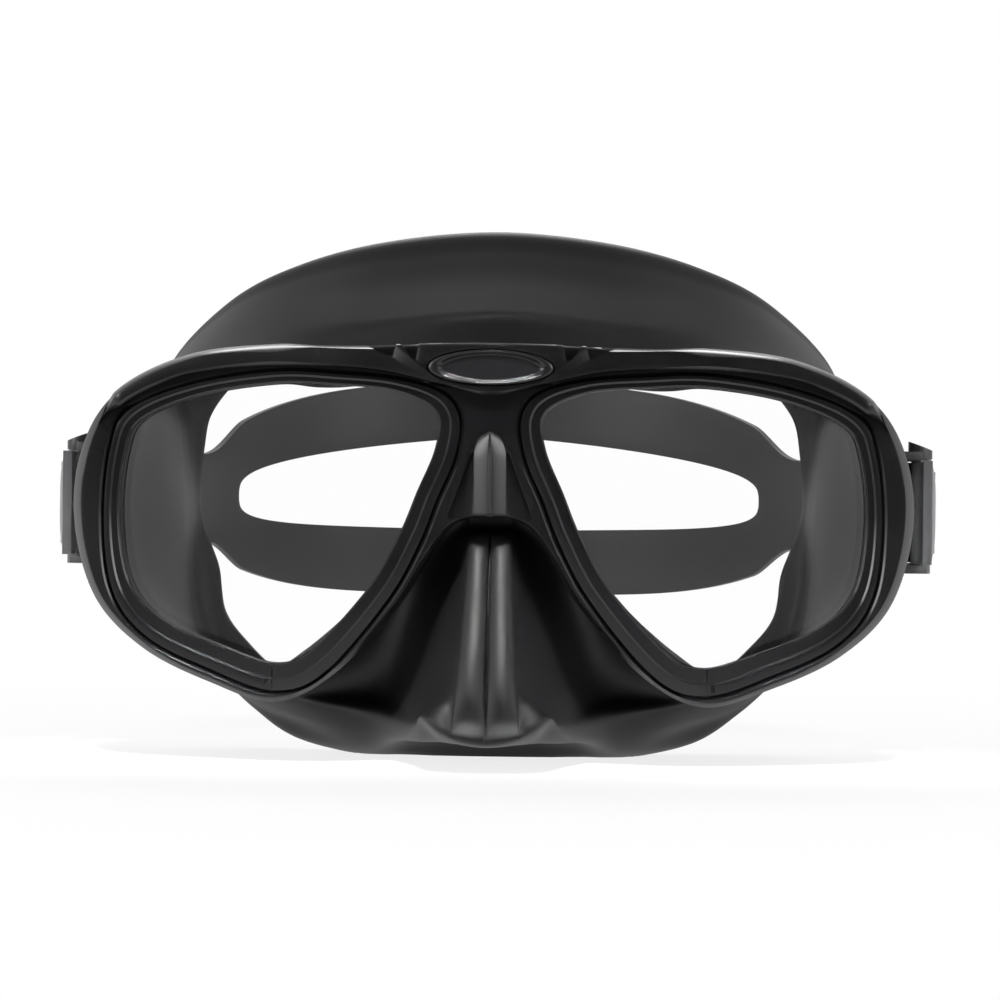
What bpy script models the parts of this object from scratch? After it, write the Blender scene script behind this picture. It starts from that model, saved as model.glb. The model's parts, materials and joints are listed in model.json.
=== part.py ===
"""Low-volume twin-lens diving mask: frame, lens rings, glass, silicone skirt, swivel buckles and split strap.

Sizes are in millimetres; solid() writes them to the meshes in metres.
Modelling frame: X to the wearer's left, Y backwards from the glass to the head, Z up, with zero on the
middle of the glass. The whole assembly hangs on one empty, which stands it on Z = 0.
Each half is modelled at positive X and mirrored.
"""

import math

import bmesh
import bpy
import numpy as np

MM = 0.001
GAP = 0.3  # clearance between pieces that seat on each other

# Glass plane: each lens leans back towards its outer side, and its top leans forwards
WRAP_SLOPE = 0.19
TILT_SLOPE = 0.08
BRIDGE_HALF = 6.0  # half width over which the two glass planes blend at the nose

# Lens opening, clockwise from the inner end of the brow: x, z, lens ring width, frame flange width
STATIONS = np.array([
    (17.9, 20.0, 2.3, 0.0),
    (29.1, 21.1, 2.2, 5.2),
    (40.3, 21.4, 2.3, 5.1),
    (55.2, 19.1, 2.4, 5.6),
    (66.5, 14.4, 2.9, 4.4),
    (69.6, 8.2, 3.0, 5.6),
    (70.8, -3.9, 3.0, 6.2),
    (68.8, -16.3, 3.7, 4.0),
    (62.7, -23.2, 4.5, 2.3),
    (50.7, -28.3, 5.0, 2.3),
    (40.4, -31.3, 5.3, 2.0),
    (33.2, -28.3, 5.0, 1.3),
    (22.3, -16.1, 4.4, 2.2),
    (16.9, -6.4, 4.3, 3.9),
    (13.8, 1.1, 4.1, 0.0),
    (10.3, 9.6, 4.1, 0.0),
    (10.2, 16.2, 3.6, 0.0),
])
ARCH_STATION = 14  # from here to the end, the frame's edge runs up the middle of the nose bridge
BRIDGE_TOP_Z = 29.0
BRIDGE_ARCH_Z = -3.2
SEGMENT_STEPS = 3

# Depths from the back of the glass, positive towards the front
LENS_THICKNESS = 4.0
LENS_SEAT_SHARE = 0.6  # share of the ring's width that the glass reaches under it
LENS_MARGIN = 2.0  # width of the ground margin inside the opening
LENS_MARGIN_DROP = 0.2
FRAME_BACK = -2.6
SKIRT_SEAT = -3.3  # front of the skirt's web behind the frame
FRAME_FLOOR = 3.0
FRAME_RIM = np.array([3.0, 3.0, 3.0, 3.0, 4.2, 5.4, 5.6, 5.6, 5.6, 5.6, 5.6, 5.6, 5.4, 5.0, 4.6, 4.4, 3.2])
LEDGE_OFFSET = 1.2
RING_CROWN = 6.2
RING_EDGE = 4.9
EDGE_CHAMFER = 0.6
BROW_CROWN = 6.9
BROW_CHAMFER = 1.3
BROW_EDGE = np.array([
    (0.0, 19.4), (9.3, 21.3), (21.3, 23.9), (40.3, 24.8), (55.3, 23.4), (63.3, 20.9), (69.7, 17.5), (74.0, 13.5),
])
BROW_END = 4.5  # station on the frame's edge where the brow trim runs out
BADGE_HALF_LENGTH = 11.6
BADGE_HALF_HEIGHT = 3.2
BADGE_Z = 24.5
BADGE_DEPTH = 1.4
BADGE_PROUD = 0.4

# Skirt
SKIRT_WALL = 1.6
GASKET_OFFSET = 0.9
SKIRT_OFFSET = 1.6  # where the skirt's wall starts, outside the lens opening
SKIRT_TOP_Z = 52.7
SKIRT_BOTTOM_Z = -50.8
SKIRT_SIDE_SETBACK = 6.1  # how far the skirt's crest stays inside the buckle lugs
SKIRT_TOP_INSET = 3.5
FOREHEAD_Y = 37.0
UPPER_LIP_Y = 33.0
TEMPLE_Y = 60.0
SEAL_SIDE_WIDTH = 5.0  # width of the sealing lip at the temples
SEAL_TOP_Z = 39.0
SEAL_BOTTOM_Z = -42.5
SEAL_DEPTH = 7.0
STANDING_LAND = 0.6  # how much of the skirt's lowest edge is flattened, so that it stands
# The skirt's crest at each station, as shares of its half width and of its height above or below the middle,
# and how late its wall flares out to it
CREST = (
    (0.0, 1.0), (0.331, 0.964), (0.602, 0.88), (0.82, 0.746), (1.012, 0.493), (1.012, 0.228), (1.0, -0.06),
    (0.983, -0.339), (0.925, -0.55), (0.836, -0.7), (0.725, -0.831), (0.6, -0.933), (0.413, -0.988), (0.25, -0.996),
)
WALL_FLARE = (2.2, 2.2, 2.1, 1.9, 1.6, 1.3, 1.3, 1.3, 1.4, 1.6, 1.7)

# Nose pocket: middle line from under the bridge down to the upper lip (y, z), and its half width row by row
NOSE_LINE = np.array([
    (3.5, -1.0), (6.5, -6.0), (1.5, -14.0), (-4.5, -24.0), (-11.0, -34.0), (-15.5, -41.2), (-13.5, -44.8),
    (2.0, -46.6), (20.0, SKIRT_BOTTOM_Z + 0.4), (33.0, SKIRT_BOTTOM_Z), (40.0, SKIRT_BOTTOM_Z + 0.5),
    (41.0, SEAL_BOTTOM_Z),
])
NOSE_HALF_WIDTH = np.array([7.4, 7.2, 7.2, 7.6, 8.4, 9.2, 9.4, 9.6, 9.8, 10.0, 10.0, 10.0])
NOSE_EDGE_BACK = np.array([0.0, 0.8, 1.8, 2.2, 2.4, 2.6, 2.6, 2.0, 1.0, 0.0, 0.0, 0.0])
NOSE_RIDGE_SHARE = np.array([0.0, 0.6, 1.0, 1.0, 1.0, 1.0, 0.8, 0.3, 0.0, 0.0, 0.0, 0.0])
# Crest share, share of the half width, forward rise and setback of the ridge's edge, the ridge and the groove
NOSE_COLUMNS = ((0.149, 1.0, 0.0, 1.0), (0.074, 0.55, 1.6, 0.3), (0.0, 0.0, 0.0, 0.0))
# Finger well beside the nose and the cheek beside it, from the frame down to the crest
NOSE_SIDE_COLUMNS = {
    11: [(34.3, 14.0, -30.2), (34.6, 17.0, -32.2), (35.0, 20.0, -34.3), (35.5, 23.0, -36.4),
         (36.0, 26.0, -38.5), (36.7, 29.5, -40.6), (37.4, 33.5, -42.8), (38.3, 38.0, -44.6)],
    12: [(20.6, 11.0, -18.5), (20.0, 14.5, -23.0), (20.0, 16.5, -28.0), (20.6, 17.5, -32.5),
         (21.4, 18.0, -36.5), (22.4, 19.5, -40.5), (23.6, 23.0, -44.5), (25.2, 29.0, -48.2)],
    13: [(13.0, 9.5, -9.0), (12.2, 9.5, -16.0), (12.4, 7.5, -25.0), (13.0, 3.5, -33.5),
         (13.8, -2.0, -39.6), (14.2, -1.0, -43.0), (14.6, 9.0, -46.4), (15.5, 22.0, SKIRT_BOTTOM_Z + 0.4)],
}

# Strap and buckles
SWIVEL_Y = 39.0
SWIVEL_Z = -1.5
STUD_RADIUS = 3.0
STUD_HEAD = 1.2
CAP_SPIGOT = 1.3
LUG_CLEARANCE = 0.2
LUG_THICKNESS = 2.2
LUG_HALF_HEIGHT = 7.0
BASE_THICKNESS = 1.6
BASE_RADIUS = 8.6
STRAP_THICKNESS = 1.7
STRAP_END_HALF = 10.0
ROLLER_RADIUS = 1.6
ROLLER_Y = 57.0
AXLE_RADIUS = 0.7
CHEEK_THICKNESS = 1.8
CHEEK_FRONT_Y = 44.0
CHEEK_BACK = 12.0  # how far the cheeks reach behind the roller
LEVER_PIN_Y = 47.0
LEVER_PIN_RADIUS = 0.7
LEVER_PIN_SINK = 0.6  # how far the pin's middle lies under the leaf
KNUCKLE_RADIUS = 2.4
KNUCKLE_HEIGHT = 2.0  # how far the knuckle round the lever pin stands above the upper cheek
LEVER_THICKNESS = 1.7
LEVER_FRONT_Y = 35.0
LEVER_BACK_Y = 66.0
TAIL_LENGTH = 38.0
LOOP_BULGE = 1.15  # how far the loop widens behind the buckles
LOOP_START_Y = 100.0
LOOP_DEPTH = 92.0
STRAP_BACK_Z = 3.0
STRAP_BACK_HALF = 23.0
SPLIT_HALF = 10.5
SPLIT_HALF_LENGTH = 62.0

# Worked-out places: the lugs clear the skirt, and everything on a buckle stacks outwards from its lug
LUG_INNER_X = float(STATIONS[:, 0].max()) + SKIRT_OFFSET + LUG_CLEARANCE
LUG_OUTER_X = LUG_INNER_X + LUG_THICKNESS
SKIRT_HALF_WIDTH = LUG_INNER_X - SKIRT_SIDE_SETBACK
SEAL_HALF_WIDTH = SKIRT_HALF_WIDTH - SEAL_SIDE_WIDTH
BASE_INNER_X = LUG_OUTER_X + GAP
BASE_OUTER_X = BASE_INNER_X + BASE_THICKNESS
INNER_RUN_X = BASE_OUTER_X + GAP + STRAP_THICKNESS / 2
LOOP_HALF_WIDTH = INNER_RUN_X + LOOP_BULGE
TURN_RADIUS = ROLLER_RADIUS + GAP + STRAP_THICKNESS / 2
ROLLER_X = INNER_RUN_X + TURN_RADIUS
OUTER_RUN_X = ROLLER_X + TURN_RADIUS
LEVER_INNER_X = OUTER_RUN_X + STRAP_THICKNESS / 2 + GAP
LEVER_PIN_X = LEVER_INNER_X - LEVER_PIN_SINK
CHEEK_INNER_Z = STRAP_END_HALF + GAP
CHEEK_OUTER_Z = CHEEK_INNER_Z + CHEEK_THICKNESS


def lens_plane(x, z):
    """Depth of the back of the glass under a front-view point."""
    side = np.abs(x)
    reach = np.where(side < BRIDGE_HALF, side**2 / (2 * BRIDGE_HALF) + BRIDGE_HALF / 2, side)
    return WRAP_SLOPE * reach - TILT_SLOPE * z


def on_plane(flat, depth):
    """Front-view points (x, z) set a depth in front of the back of the glass, as 3-D points."""
    flat = np.asarray(flat, float)
    y = lens_plane(flat[:, 0], flat[:, 1]) - depth
    return np.column_stack([flat[:, 0], y, flat[:, 1]])


def spline_segment(before, start, end, after, steps):
    """Catmull-Rom points from start up to, and without, end."""
    t = np.linspace(0, 1, steps, endpoint=False)[:, None]
    slope_in = (end - before) / 2
    slope_out = (after - start) / 2
    return ((2 * t**3 - 3 * t**2 + 1) * start + (t**3 - 2 * t**2 + t) * slope_in
            + (3 * t**2 - 2 * t**3) * end + (t**3 - t**2) * slope_out)


def closed_spline(points, steps):
    points = np.asarray(points, float)
    count = len(points)
    return np.vstack([
        spline_segment(points[i - 1], points[i], points[(i + 1) % count], points[(i + 2) % count], steps)
        for i in range(count)
    ])


def open_spline(points, steps, before=None, after=None):
    """Spline through all the points, both ends included."""
    points = np.asarray(points, float)
    first = 2 * points[0] - points[1] if before is None else np.asarray(before, float)
    last = 2 * points[-1] - points[-2] if after is None else np.asarray(after, float)
    padded = np.vstack([first, points, last])
    runs = [spline_segment(*padded[i:i + 4], steps) for i in range(len(points) - 1)]
    return np.vstack([*runs, points[-1:]])


def mirrored(point):
    flipped = np.array(point, float)
    flipped[0] = -flipped[0]
    return flipped


def outward_normals(loop):
    """Unit normals of a closed clockwise front-view loop, pointing away from its inside."""
    along = np.roll(loop, -1, axis=0) - np.roll(loop, 1, axis=0)
    normal = np.column_stack([-along[:, 1], along[:, 0]])
    return normal / np.linalg.norm(normal, axis=1)[:, None]


class LensOutline:
    """The closed front-view loops of the right-hand half: opening, ring edge and frame edge."""

    def __init__(self, steps):
        self.steps = steps
        self.opening = closed_spline(STATIONS[:, :2], steps)
        self.normal = outward_normals(self.opening)
        self.ring = closed_spline(STATIONS[:, 2:3], steps)[:, 0]
        self.flange = STATIONS[:, 3]
        self.rim = np.interp(
            np.arange(len(self.opening)) / steps, np.arange(len(FRAME_RIM) + 1), [*FRAME_RIM, FRAME_RIM[0]])
        self.edge = self._frame_edge()

    def offset(self, distance):
        """The opening moved outwards by a distance, or by one distance for each point."""
        return self.opening + self.normal * np.broadcast_to(distance, len(self.opening))[:, None]

    def _frame_edge(self):
        at_stations = self.offset(self.ring)[::self.steps] + self.normal[::self.steps] * self.flange[:, None]
        top = np.array([0.0, BRIDGE_TOP_Z])
        arch = np.array([0.0, BRIDGE_ARCH_Z])
        path = np.vstack([top, at_stations[1:ARCH_STATION], arch])
        rim = open_spline(path, self.steps, mirrored(path[1]), mirrored(path[-2]))
        bridge_steps = (len(STATIONS) - ARCH_STATION) * self.steps
        rise = np.linspace(0, 1, bridge_steps, endpoint=False)[1:, None]
        return np.vstack([rim, arch + (top - arch) * rise])

    def brow_edge(self):
        """The stretch of the frame's edge that the brow trim follows, from the middle outwards."""
        end = BROW_END * self.steps
        index = np.linspace(0, end, len(BROW_EDGE) * self.steps + 1)
        whole = np.arange(len(self.edge))
        return np.column_stack([np.interp(index, whole, self.edge[:, axis]) for axis in (0, 1)])


def place_of(empty):
    """Where an empty of the assembly stands, in modelling millimetres."""
    place = np.zeros(3)
    while empty is not None:
        place += np.array(empty.location) / MM
        empty = empty.parent
    return place


def pivot(name, place, parent=None):
    """An empty on a joint's axis."""
    empty = bpy.data.objects.new(name, None)
    bpy.context.scene.collection.objects.link(empty)
    empty.parent = parent
    empty.location = [float(c) * MM for c in np.array(place, float) - place_of(parent)]
    return empty


def new_object(name, mesh, material, parent):
    obj = bpy.data.objects.new(name, mesh)
    bpy.context.scene.collection.objects.link(obj)
    obj.data.materials.append(material)
    obj.parent = parent
    return obj


def solid(name, points, faces, material, parent, recalculate=True):
    """A mesh object from millimetre points. Doubles are merged, and a closed shape's faces point out."""
    mesh = bpy.data.meshes.new(name)
    local = (np.asarray(points, float) - place_of(parent)) * MM
    mesh.from_pydata(local.tolist(), [], [tuple(f) for f in faces])
    work = bmesh.new()
    work.from_mesh(mesh)
    bmesh.ops.remove_doubles(work, verts=work.verts, dist=1e-7)
    if recalculate:
        bmesh.ops.recalc_face_normals(work, faces=work.faces)
    work.to_mesh(mesh)
    work.free()
    mesh.shade_smooth()
    mesh.set_sharp_from_angle(angle=math.radians(30))
    return new_object(name, mesh, material, parent)


def loft_faces(rows, columns, close_rows=False, close_columns=False, base=0):
    """Quads of a grid of rows x columns points stored row by row."""
    faces = []
    for r in range(rows if close_rows else rows - 1):
        for c in range(columns if close_columns else columns - 1):
            s = (r + 1) % rows
            d = (c + 1) % columns
            faces.append((base + r * columns + c, base + r * columns + d, base + s * columns + d, base + s * columns + c))
    return faces


def on_mirror_plane(points, face):
    return all(abs(points[i][0]) < 1e-6 for i in face)


def add_mirror(obj):
    mirror = obj.modifiers.new("halves", "MIRROR")
    mirror.merge_threshold = 1e-5
    return mirror


def mirrored_copy(obj, name):
    """The other half's piece: the same shape reflected in X, as an object of its own."""
    mesh = obj.data.copy()
    for vertex in mesh.vertices:
        vertex.co.x = -vertex.co.x
    mesh.flip_normals()
    twin = new_object(name, mesh, obj.data.materials[0], obj.parent)
    mesh.materials.pop()
    return twin


def swept_ring(name, sections, material, parent):
    """A closed ring from a list of closed loops that together go round the cross-section."""
    points = np.vstack(sections)
    count = len(sections[0])
    faces = loft_faces(len(sections), count, close_rows=True, close_columns=True)
    return solid(name, points, faces, material, parent)


def boolean(obj, other, operation):
    modifier = obj.modifiers.new(operation.lower(), "BOOLEAN")
    modifier.operation = operation
    modifier.object = other
    other.hide_render = True
    other.display_type = "WIRE"
    return modifier


def outline_prism(name, outline, low, high, axis, material, parent):
    """An extruded outline: points (a, b) across the axis, from low to high along it."""
    order = {"x": (1, 2, 0), "y": (0, 2, 1), "z": (0, 1, 2)}[axis]
    count = len(outline)
    points = np.zeros((2 * count, 3))
    for end, height in enumerate((low, high)):
        block = slice(end * count, (end + 1) * count)
        points[block, order[0]] = [p[0] for p in outline]
        points[block, order[1]] = [p[1] for p in outline]
        points[block, order[2]] = height
    faces = [tuple(range(count)), tuple(range(count, 2 * count))]
    faces += loft_faces(2, count, close_columns=True)
    return solid(name, points, faces, material, parent)


def circle(centre, radius, steps):
    turn = np.linspace(0, 2 * math.pi, steps, endpoint=False)
    return [(centre[0] + radius * math.cos(t), centre[1] + radius * math.sin(t)) for t in turn]


def arc(centre, radius, start_deg, end_deg, steps):
    turn = np.radians(np.linspace(start_deg, end_deg, steps))
    return [(centre[0] + radius * math.cos(t), centre[1] + radius * math.sin(t)) for t in turn]


def plain_material(name, colour, roughness, metallic=0.0, transmission=0.0):
    material = bpy.data.materials.new(name)
    material.use_nodes = True
    shader = material.node_tree.nodes["Principled BSDF"]
    shader.inputs["Base Color"].default_value = (*colour, 1.0)
    shader.inputs["Roughness"].default_value = roughness
    shader.inputs["Metallic"].default_value = metallic
    shader.inputs["Transmission Weight"].default_value = transmission
    return material


# Frame pieces

def main_frame(outline, material, parent):
    """Frame half round one lens: a ledge behind the glass, a floor under the ring and a rim outside it."""
    pocket = outline.ring * LENS_SEAT_SHARE + GAP
    channel = outline.ring + GAP
    inner_rim = outline.offset(channel)
    reach = np.linalg.norm(outline.edge - inner_rim, axis=1)
    share = np.clip(1 - EDGE_CHAMFER / np.maximum(reach, EDGE_CHAMFER), 0, 1)[:, None]
    shoulder = inner_rim + (outline.edge - inner_rim) * share
    bridge = np.abs(outline.edge[:, 0]) < 1e-6
    bridge[0] = bridge[ARCH_STATION * outline.steps] = False
    lowered = outline.rim - np.where(bridge, 0.0, EDGE_CHAMFER)
    sections = [
        on_plane(outline.offset(LEDGE_OFFSET), FRAME_BACK),
        on_plane(outline.offset(LEDGE_OFFSET), -GAP),
        on_plane(outline.offset(pocket), -GAP),
        on_plane(outline.offset(pocket), FRAME_FLOOR),
        on_plane(inner_rim, FRAME_FLOOR),
        on_plane(inner_rim, np.maximum(outline.rim, FRAME_FLOOR + 0.1)),
        on_plane(shoulder, np.maximum(outline.rim, FRAME_FLOOR + 0.1)),
        on_plane(outline.edge, np.maximum(lowered, FRAME_BACK + EDGE_CHAMFER)),
        on_plane(outline.edge, FRAME_BACK),
    ]
    points = np.vstack(sections)
    faces = loft_faces(len(sections), len(outline.edge), close_rows=True, close_columns=True)
    faces = [f for f in faces if not on_mirror_plane(points, f)]
    frame = solid("main_frame", points, faces, material, parent, recalculate=False)
    add_mirror(frame)
    return frame


def buckle_lug(name, side, material, parent):
    """Arm behind the frame's side that carries the buckle: a plate with a round end about the swivel."""
    root_y = float(lens_plane(STATIONS[6, 0], SWIVEL_Z)) - FRAME_FLOOR + 1.0
    outline = arc((SWIVEL_Y, SWIVEL_Z), LUG_HALF_HEIGHT, -90, 90, 9)
    outline += [(root_y, SWIVEL_Z + LUG_HALF_HEIGHT + 2.0), (root_y, SWIVEL_Z - LUG_HALF_HEIGHT - 2.0)]
    low = side * LUG_INNER_X
    high = side * (LUG_INNER_X + LUG_THICKNESS)
    return outline_prism(name, outline, low, high, "x", material, parent)


def lens_ring(outline, material, parent):
    """Front ring that holds one lens: a bevelled lip over the glass and a skirt down to the frame's floor."""
    step = outline.ring * LENS_SEAT_SHARE + GAP
    front = LENS_THICKNESS + GAP
    sections = [
        on_plane(outline.opening, front),
        on_plane(outline.opening, RING_EDGE),
        on_plane(outline.offset(outline.ring * 0.45), RING_CROWN),
        on_plane(outline.offset(outline.ring - EDGE_CHAMFER), RING_CROWN),
        on_plane(outline.offset(outline.ring), RING_CROWN - EDGE_CHAMFER),
        on_plane(outline.offset(outline.ring), FRAME_FLOOR + GAP),
        on_plane(outline.offset(step), FRAME_FLOOR + GAP),
        on_plane(outline.offset(step), front),
    ]
    return swept_ring("left_lens_ring", sections, material, parent)


def lens(outline, material, parent):
    """Flat glass. Its inner face has a margin ground slightly back, where the skirt's gasket bears."""
    edge = outline.offset(outline.ring * LENS_SEAT_SHARE)
    field = outline.offset(-LENS_MARGIN)
    front = LENS_THICKNESS
    loops = [on_plane(field, 0.0), on_plane(edge, LENS_MARGIN_DROP), on_plane(edge, front), on_plane(field, front)]
    count = len(edge)
    faces = loft_faces(len(loops), count, close_columns=True)
    faces += [tuple(range(count)), tuple(range(3 * count, 4 * count))]
    return solid("left_lens", np.vstack(loops), faces, material, parent)


def brow_trim(outline, material, parent):
    """Trim along the top of the frame, from corner to corner, with an oval seat over the nose bridge."""
    upper = outline.brow_edge()
    lower = open_spline(BROW_EDGE, outline.steps, mirrored(BROW_EDGE[1]))
    index = np.linspace(0, len(lower) - 1, len(upper))
    lower = np.column_stack([np.interp(index, np.arange(len(lower)), lower[:, axis]) for axis in (0, 1)])
    span = upper - lower
    width = np.maximum(np.linalg.norm(span, axis=1), 1e-6)
    bevel = np.minimum(BROW_CHAMFER / width, 0.45)[:, None]
    inset = np.minimum(EDGE_CHAMFER / width, 0.3)[:, None]
    crown = FRAME_FLOOR + GAP + (BROW_CROWN - FRAME_FLOOR - GAP) * np.clip(width / 3.0, 0.35, 1)
    seat = np.maximum(outline_rim_at(outline, len(upper)), FRAME_FLOOR) + GAP
    sections = [
        on_plane(lower, seat),
        on_plane(lower, crown - EDGE_CHAMFER),
        on_plane(lower + span * inset, crown),
        on_plane(upper - span * bevel, crown),
        on_plane(upper, np.maximum(crown - BROW_CHAMFER, seat + 0.4)),
        on_plane(upper, seat),
    ]
    points = np.vstack(sections)
    count = len(upper)
    faces = loft_faces(len(sections), count, close_rows=True)
    faces.append(tuple(r * count + count - 1 for r in reversed(range(len(sections)))))
    trim = solid("brow_trim", points, faces, material, parent, recalculate=False)
    add_mirror(trim)
    pocket = badge_plate("badge_pocket", GAP, BROW_CROWN - BADGE_DEPTH - GAP, BROW_CROWN + 4.0, material, parent)
    boolean(trim, pocket, "DIFFERENCE")
    return trim


def outline_rim_at(outline, count):
    """Height of the frame under the brow trim, at as many points as the trim has."""
    index = np.linspace(0, BROW_END * outline.steps, count)
    return np.interp(index, np.arange(len(outline.rim)), outline.rim) + 0.1


def badge_plate(name, grow, low, high, material, parent):
    """An oval plate that follows the bridge, from one depth to another, grown all round."""
    turn = np.linspace(0, 2 * math.pi, 32, endpoint=False)
    flat = np.column_stack([
        (BADGE_HALF_LENGTH + grow) * np.cos(turn),
        BADGE_Z + (BADGE_HALF_HEIGHT + grow) * np.sin(turn),
    ])
    points = np.vstack([on_plane(flat, low), on_plane(flat, high)])
    count = len(flat)
    faces = loft_faces(2, count, close_columns=True)
    for base in (0, count):
        for i in range(count // 2):
            corners = dict.fromkeys((i, i + 1, count - i - 1, (count - i) % count))
            faces.append(tuple(base + corner for corner in corners))
    return solid(name, points, faces, material, parent)


# Skirt

def crest_point(share, half_width, top, bottom):
    """Front-view point of an outline with its own half width and its own height above and below the middle."""
    across, up = share
    return half_width * across, up * (top if up >= 0 else bottom)


def seal_rows(share):
    """The skirt's outer crest, its back edge and the inner edge of its sealing lip, at one station."""
    x, z = crest_point(share, SKIRT_HALF_WIDTH, SKIRT_TOP_Z, -SKIRT_BOTTOM_Z)
    middle_y = FOREHEAD_Y if z >= 0 else UPPER_LIP_Y
    y = middle_y + (TEMPLE_Y - middle_y) * (x / SKIRT_HALF_WIDTH) ** 2
    back_x, back_z = crest_point(share, SKIRT_HALF_WIDTH - 2.5, SKIRT_TOP_Z - 2.5, -SKIRT_BOTTOM_Z - 0.5)
    lip_x, lip_z = crest_point(share, SEAL_HALF_WIDTH, SEAL_TOP_Z, -SEAL_BOTTOM_Z)
    return [(x, y, z), (back_x, y + SEAL_DEPTH, back_z), (lip_x, y + SEAL_DEPTH + 1.0, lip_z)]


def wall_column(start, crest, flare):
    """Skirt wall from the frame back to the crest: it runs straight back first, then flares."""
    share = np.linspace(0, 1, len(NOSE_LINE) - 2)[:-1, None]
    start = np.asarray(start)
    crest = np.asarray(crest)
    column = start + (crest - start) * share ** flare * (2 - share)
    column[:, 1] = (start[1] + (crest[1] - start[1]) * share ** 0.9)[:, 0]
    return column


def skirt_columns(outline):
    """Control columns of the skirt's outer wall, from the middle of the brow round to the middle of the nose."""
    start_flat = outline.offset(SKIRT_OFFSET)[::outline.steps]
    columns = []
    for station in range(ARCH_STATION):
        flat = start_flat[station] if station else np.array([0.0, BRIDGE_TOP_Z - SKIRT_TOP_INSET])
        start = on_plane([flat], SKIRT_SEAT)[0]
        seal = seal_rows(CREST[station])
        if station in NOSE_SIDE_COLUMNS:
            wall = np.vstack([start, NOSE_SIDE_COLUMNS[station]])
        else:
            wall = wall_column(start, seal[0], WALL_FLARE[station])
        columns.append(np.vstack([wall, seal]))
    for crest_share, width_share, rise, setback in NOSE_COLUMNS:
        line = np.zeros((len(NOSE_LINE), 3))
        line[:, 0] = NOSE_HALF_WIDTH * width_share
        line[:, 1:] = NOSE_LINE
        line[:, 1] += setback * NOSE_EDGE_BACK - rise * NOSE_RIDGE_SHARE
        line[0] = on_plane([(line[0, 0], NOSE_LINE[0, 1])], SKIRT_SEAT)[0]
        line[-3:] = seal_rows((crest_share, -1.0))
        columns.append(line)
    return np.array(columns)


def skirt_wall(outline, row_steps):
    """The skirt's outer surface as a grid: columns round the frame, rows from the frame to the sealing lip."""
    control = skirt_columns(outline)
    padded = np.concatenate([control[1:2] * [-1, 1, 1], control, control[-2:-1] * [-1, 1, 1]])
    grid = []
    for station in range(len(control) - 1):
        steps = outline.steps if station < ARCH_STATION - 1 else outline.steps // 3
        grid.append(spline_segment(*padded[station:station + 4].reshape(4, -1), steps))
    grid = np.vstack([*grid, control[-1].reshape(1, -1)]).reshape(-1, *control.shape[1:])
    fine = np.stack([open_spline(column, row_steps) for column in grid])
    fine[[0, -1], :, 0] = 0.0
    fine[:, :, 2] = np.maximum(fine[:, :, 2], SKIRT_BOTTOM_Z + STANDING_LAND)
    return fine


def skirt_surface(outline, row_steps):
    """Outer surface of one half: gasket lip, web round the glass and wall. Returns points and faces."""
    wall = skirt_wall(outline, row_steps)
    count = len(outline.opening)
    columns, rows = wall.shape[:2]
    edge = np.vstack([wall[:, 0], np.zeros((count - columns, 3))])
    bridge_z = np.linspace(wall[-1, 0, 2], wall[0, 0, 2], count - columns + 2)[1:-1]
    edge[columns:] = on_plane(np.column_stack([np.zeros(len(bridge_z)), bridge_z]), SKIRT_SEAT)
    gasket = outline.offset(GASKET_OFFSET)
    web = np.vstack([on_plane(gasket, -GAP), on_plane(gasket, SKIRT_SEAT), edge])
    points = np.vstack([web, wall[:, 1:].reshape(-1, 3)])
    faces = loft_faces(3, count, close_columns=True)
    base = len(web)

    def index(column, row):
        return 2 * count + column if row == 0 else base + column * (rows - 1) + row - 1

    for c in range(columns - 1):
        for r in range(rows - 1):
            faces.append((index(c, r), index(c + 1, r), index(c + 1, r + 1), index(c, r + 1)))
    return points, faces


def skirt(outline, material, parent):
    points, faces = skirt_surface(outline, 1)
    obj = solid("skirt", points, faces, material, parent, recalculate=False)
    add_mirror(obj)
    wall = obj.modifiers.new("wall", "SOLIDIFY")
    wall.thickness = SKIRT_WALL * MM
    wall.offset = -1.0
    wall.use_even_offset = True
    return points


# Strap and buckles

def smooth(share):
    share = np.clip(share, 0, 1)
    return share * share * (3 - 2 * share)


def strap_path():
    """Middle line of the strap's left half, tail first: x, y, middle height, half height, half of the split."""
    tail = [(OUTER_RUN_X, y) for y in np.linspace(ROLLER_Y + TAIL_LENGTH, ROLLER_Y, 6)]
    turn = arc((ROLLER_X, ROLLER_Y), TURN_RADIUS, 0, -180, 11)[1:]
    share = np.linspace(0, 1, 8)[1:]
    run = [(INNER_RUN_X + (LOOP_HALF_WIDTH - INNER_RUN_X) * smooth(s),
            ROLLER_Y + (LOOP_START_Y - ROLLER_Y) * s) for s in share]
    split_end = math.acos(SPLIT_HALF_LENGTH / LOOP_HALF_WIDTH)
    before = np.linspace(0, split_end, 9)[1:]
    after = split_end + (math.pi / 2 - split_end) * np.linspace(0, 1, 18)[1:] ** 1.6
    sweep = np.concatenate([before, after])
    loop = [(LOOP_HALF_WIDTH * math.cos(t), LOOP_START_Y + LOOP_DEPTH * math.sin(t)) for t in sweep]
    flat = np.array([*tail, *turn, *run, *loop])
    flat[-1, 0] = 0.0
    lead = len(flat) - len(sweep)
    around = np.concatenate([np.zeros(lead), sweep]) / (math.pi / 2)
    opened = np.clip((around * math.pi / 2 - split_end) / (math.pi / 2 - split_end), 0, 1)
    middle = SWIVEL_Z + (STRAP_BACK_Z - SWIVEL_Z) * smooth(around)
    half = STRAP_END_HALF + (STRAP_BACK_HALF - STRAP_END_HALF) * smooth(around)
    split = SPLIT_HALF * opened ** 0.3
    return np.column_stack([flat, middle, half, split])


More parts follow.
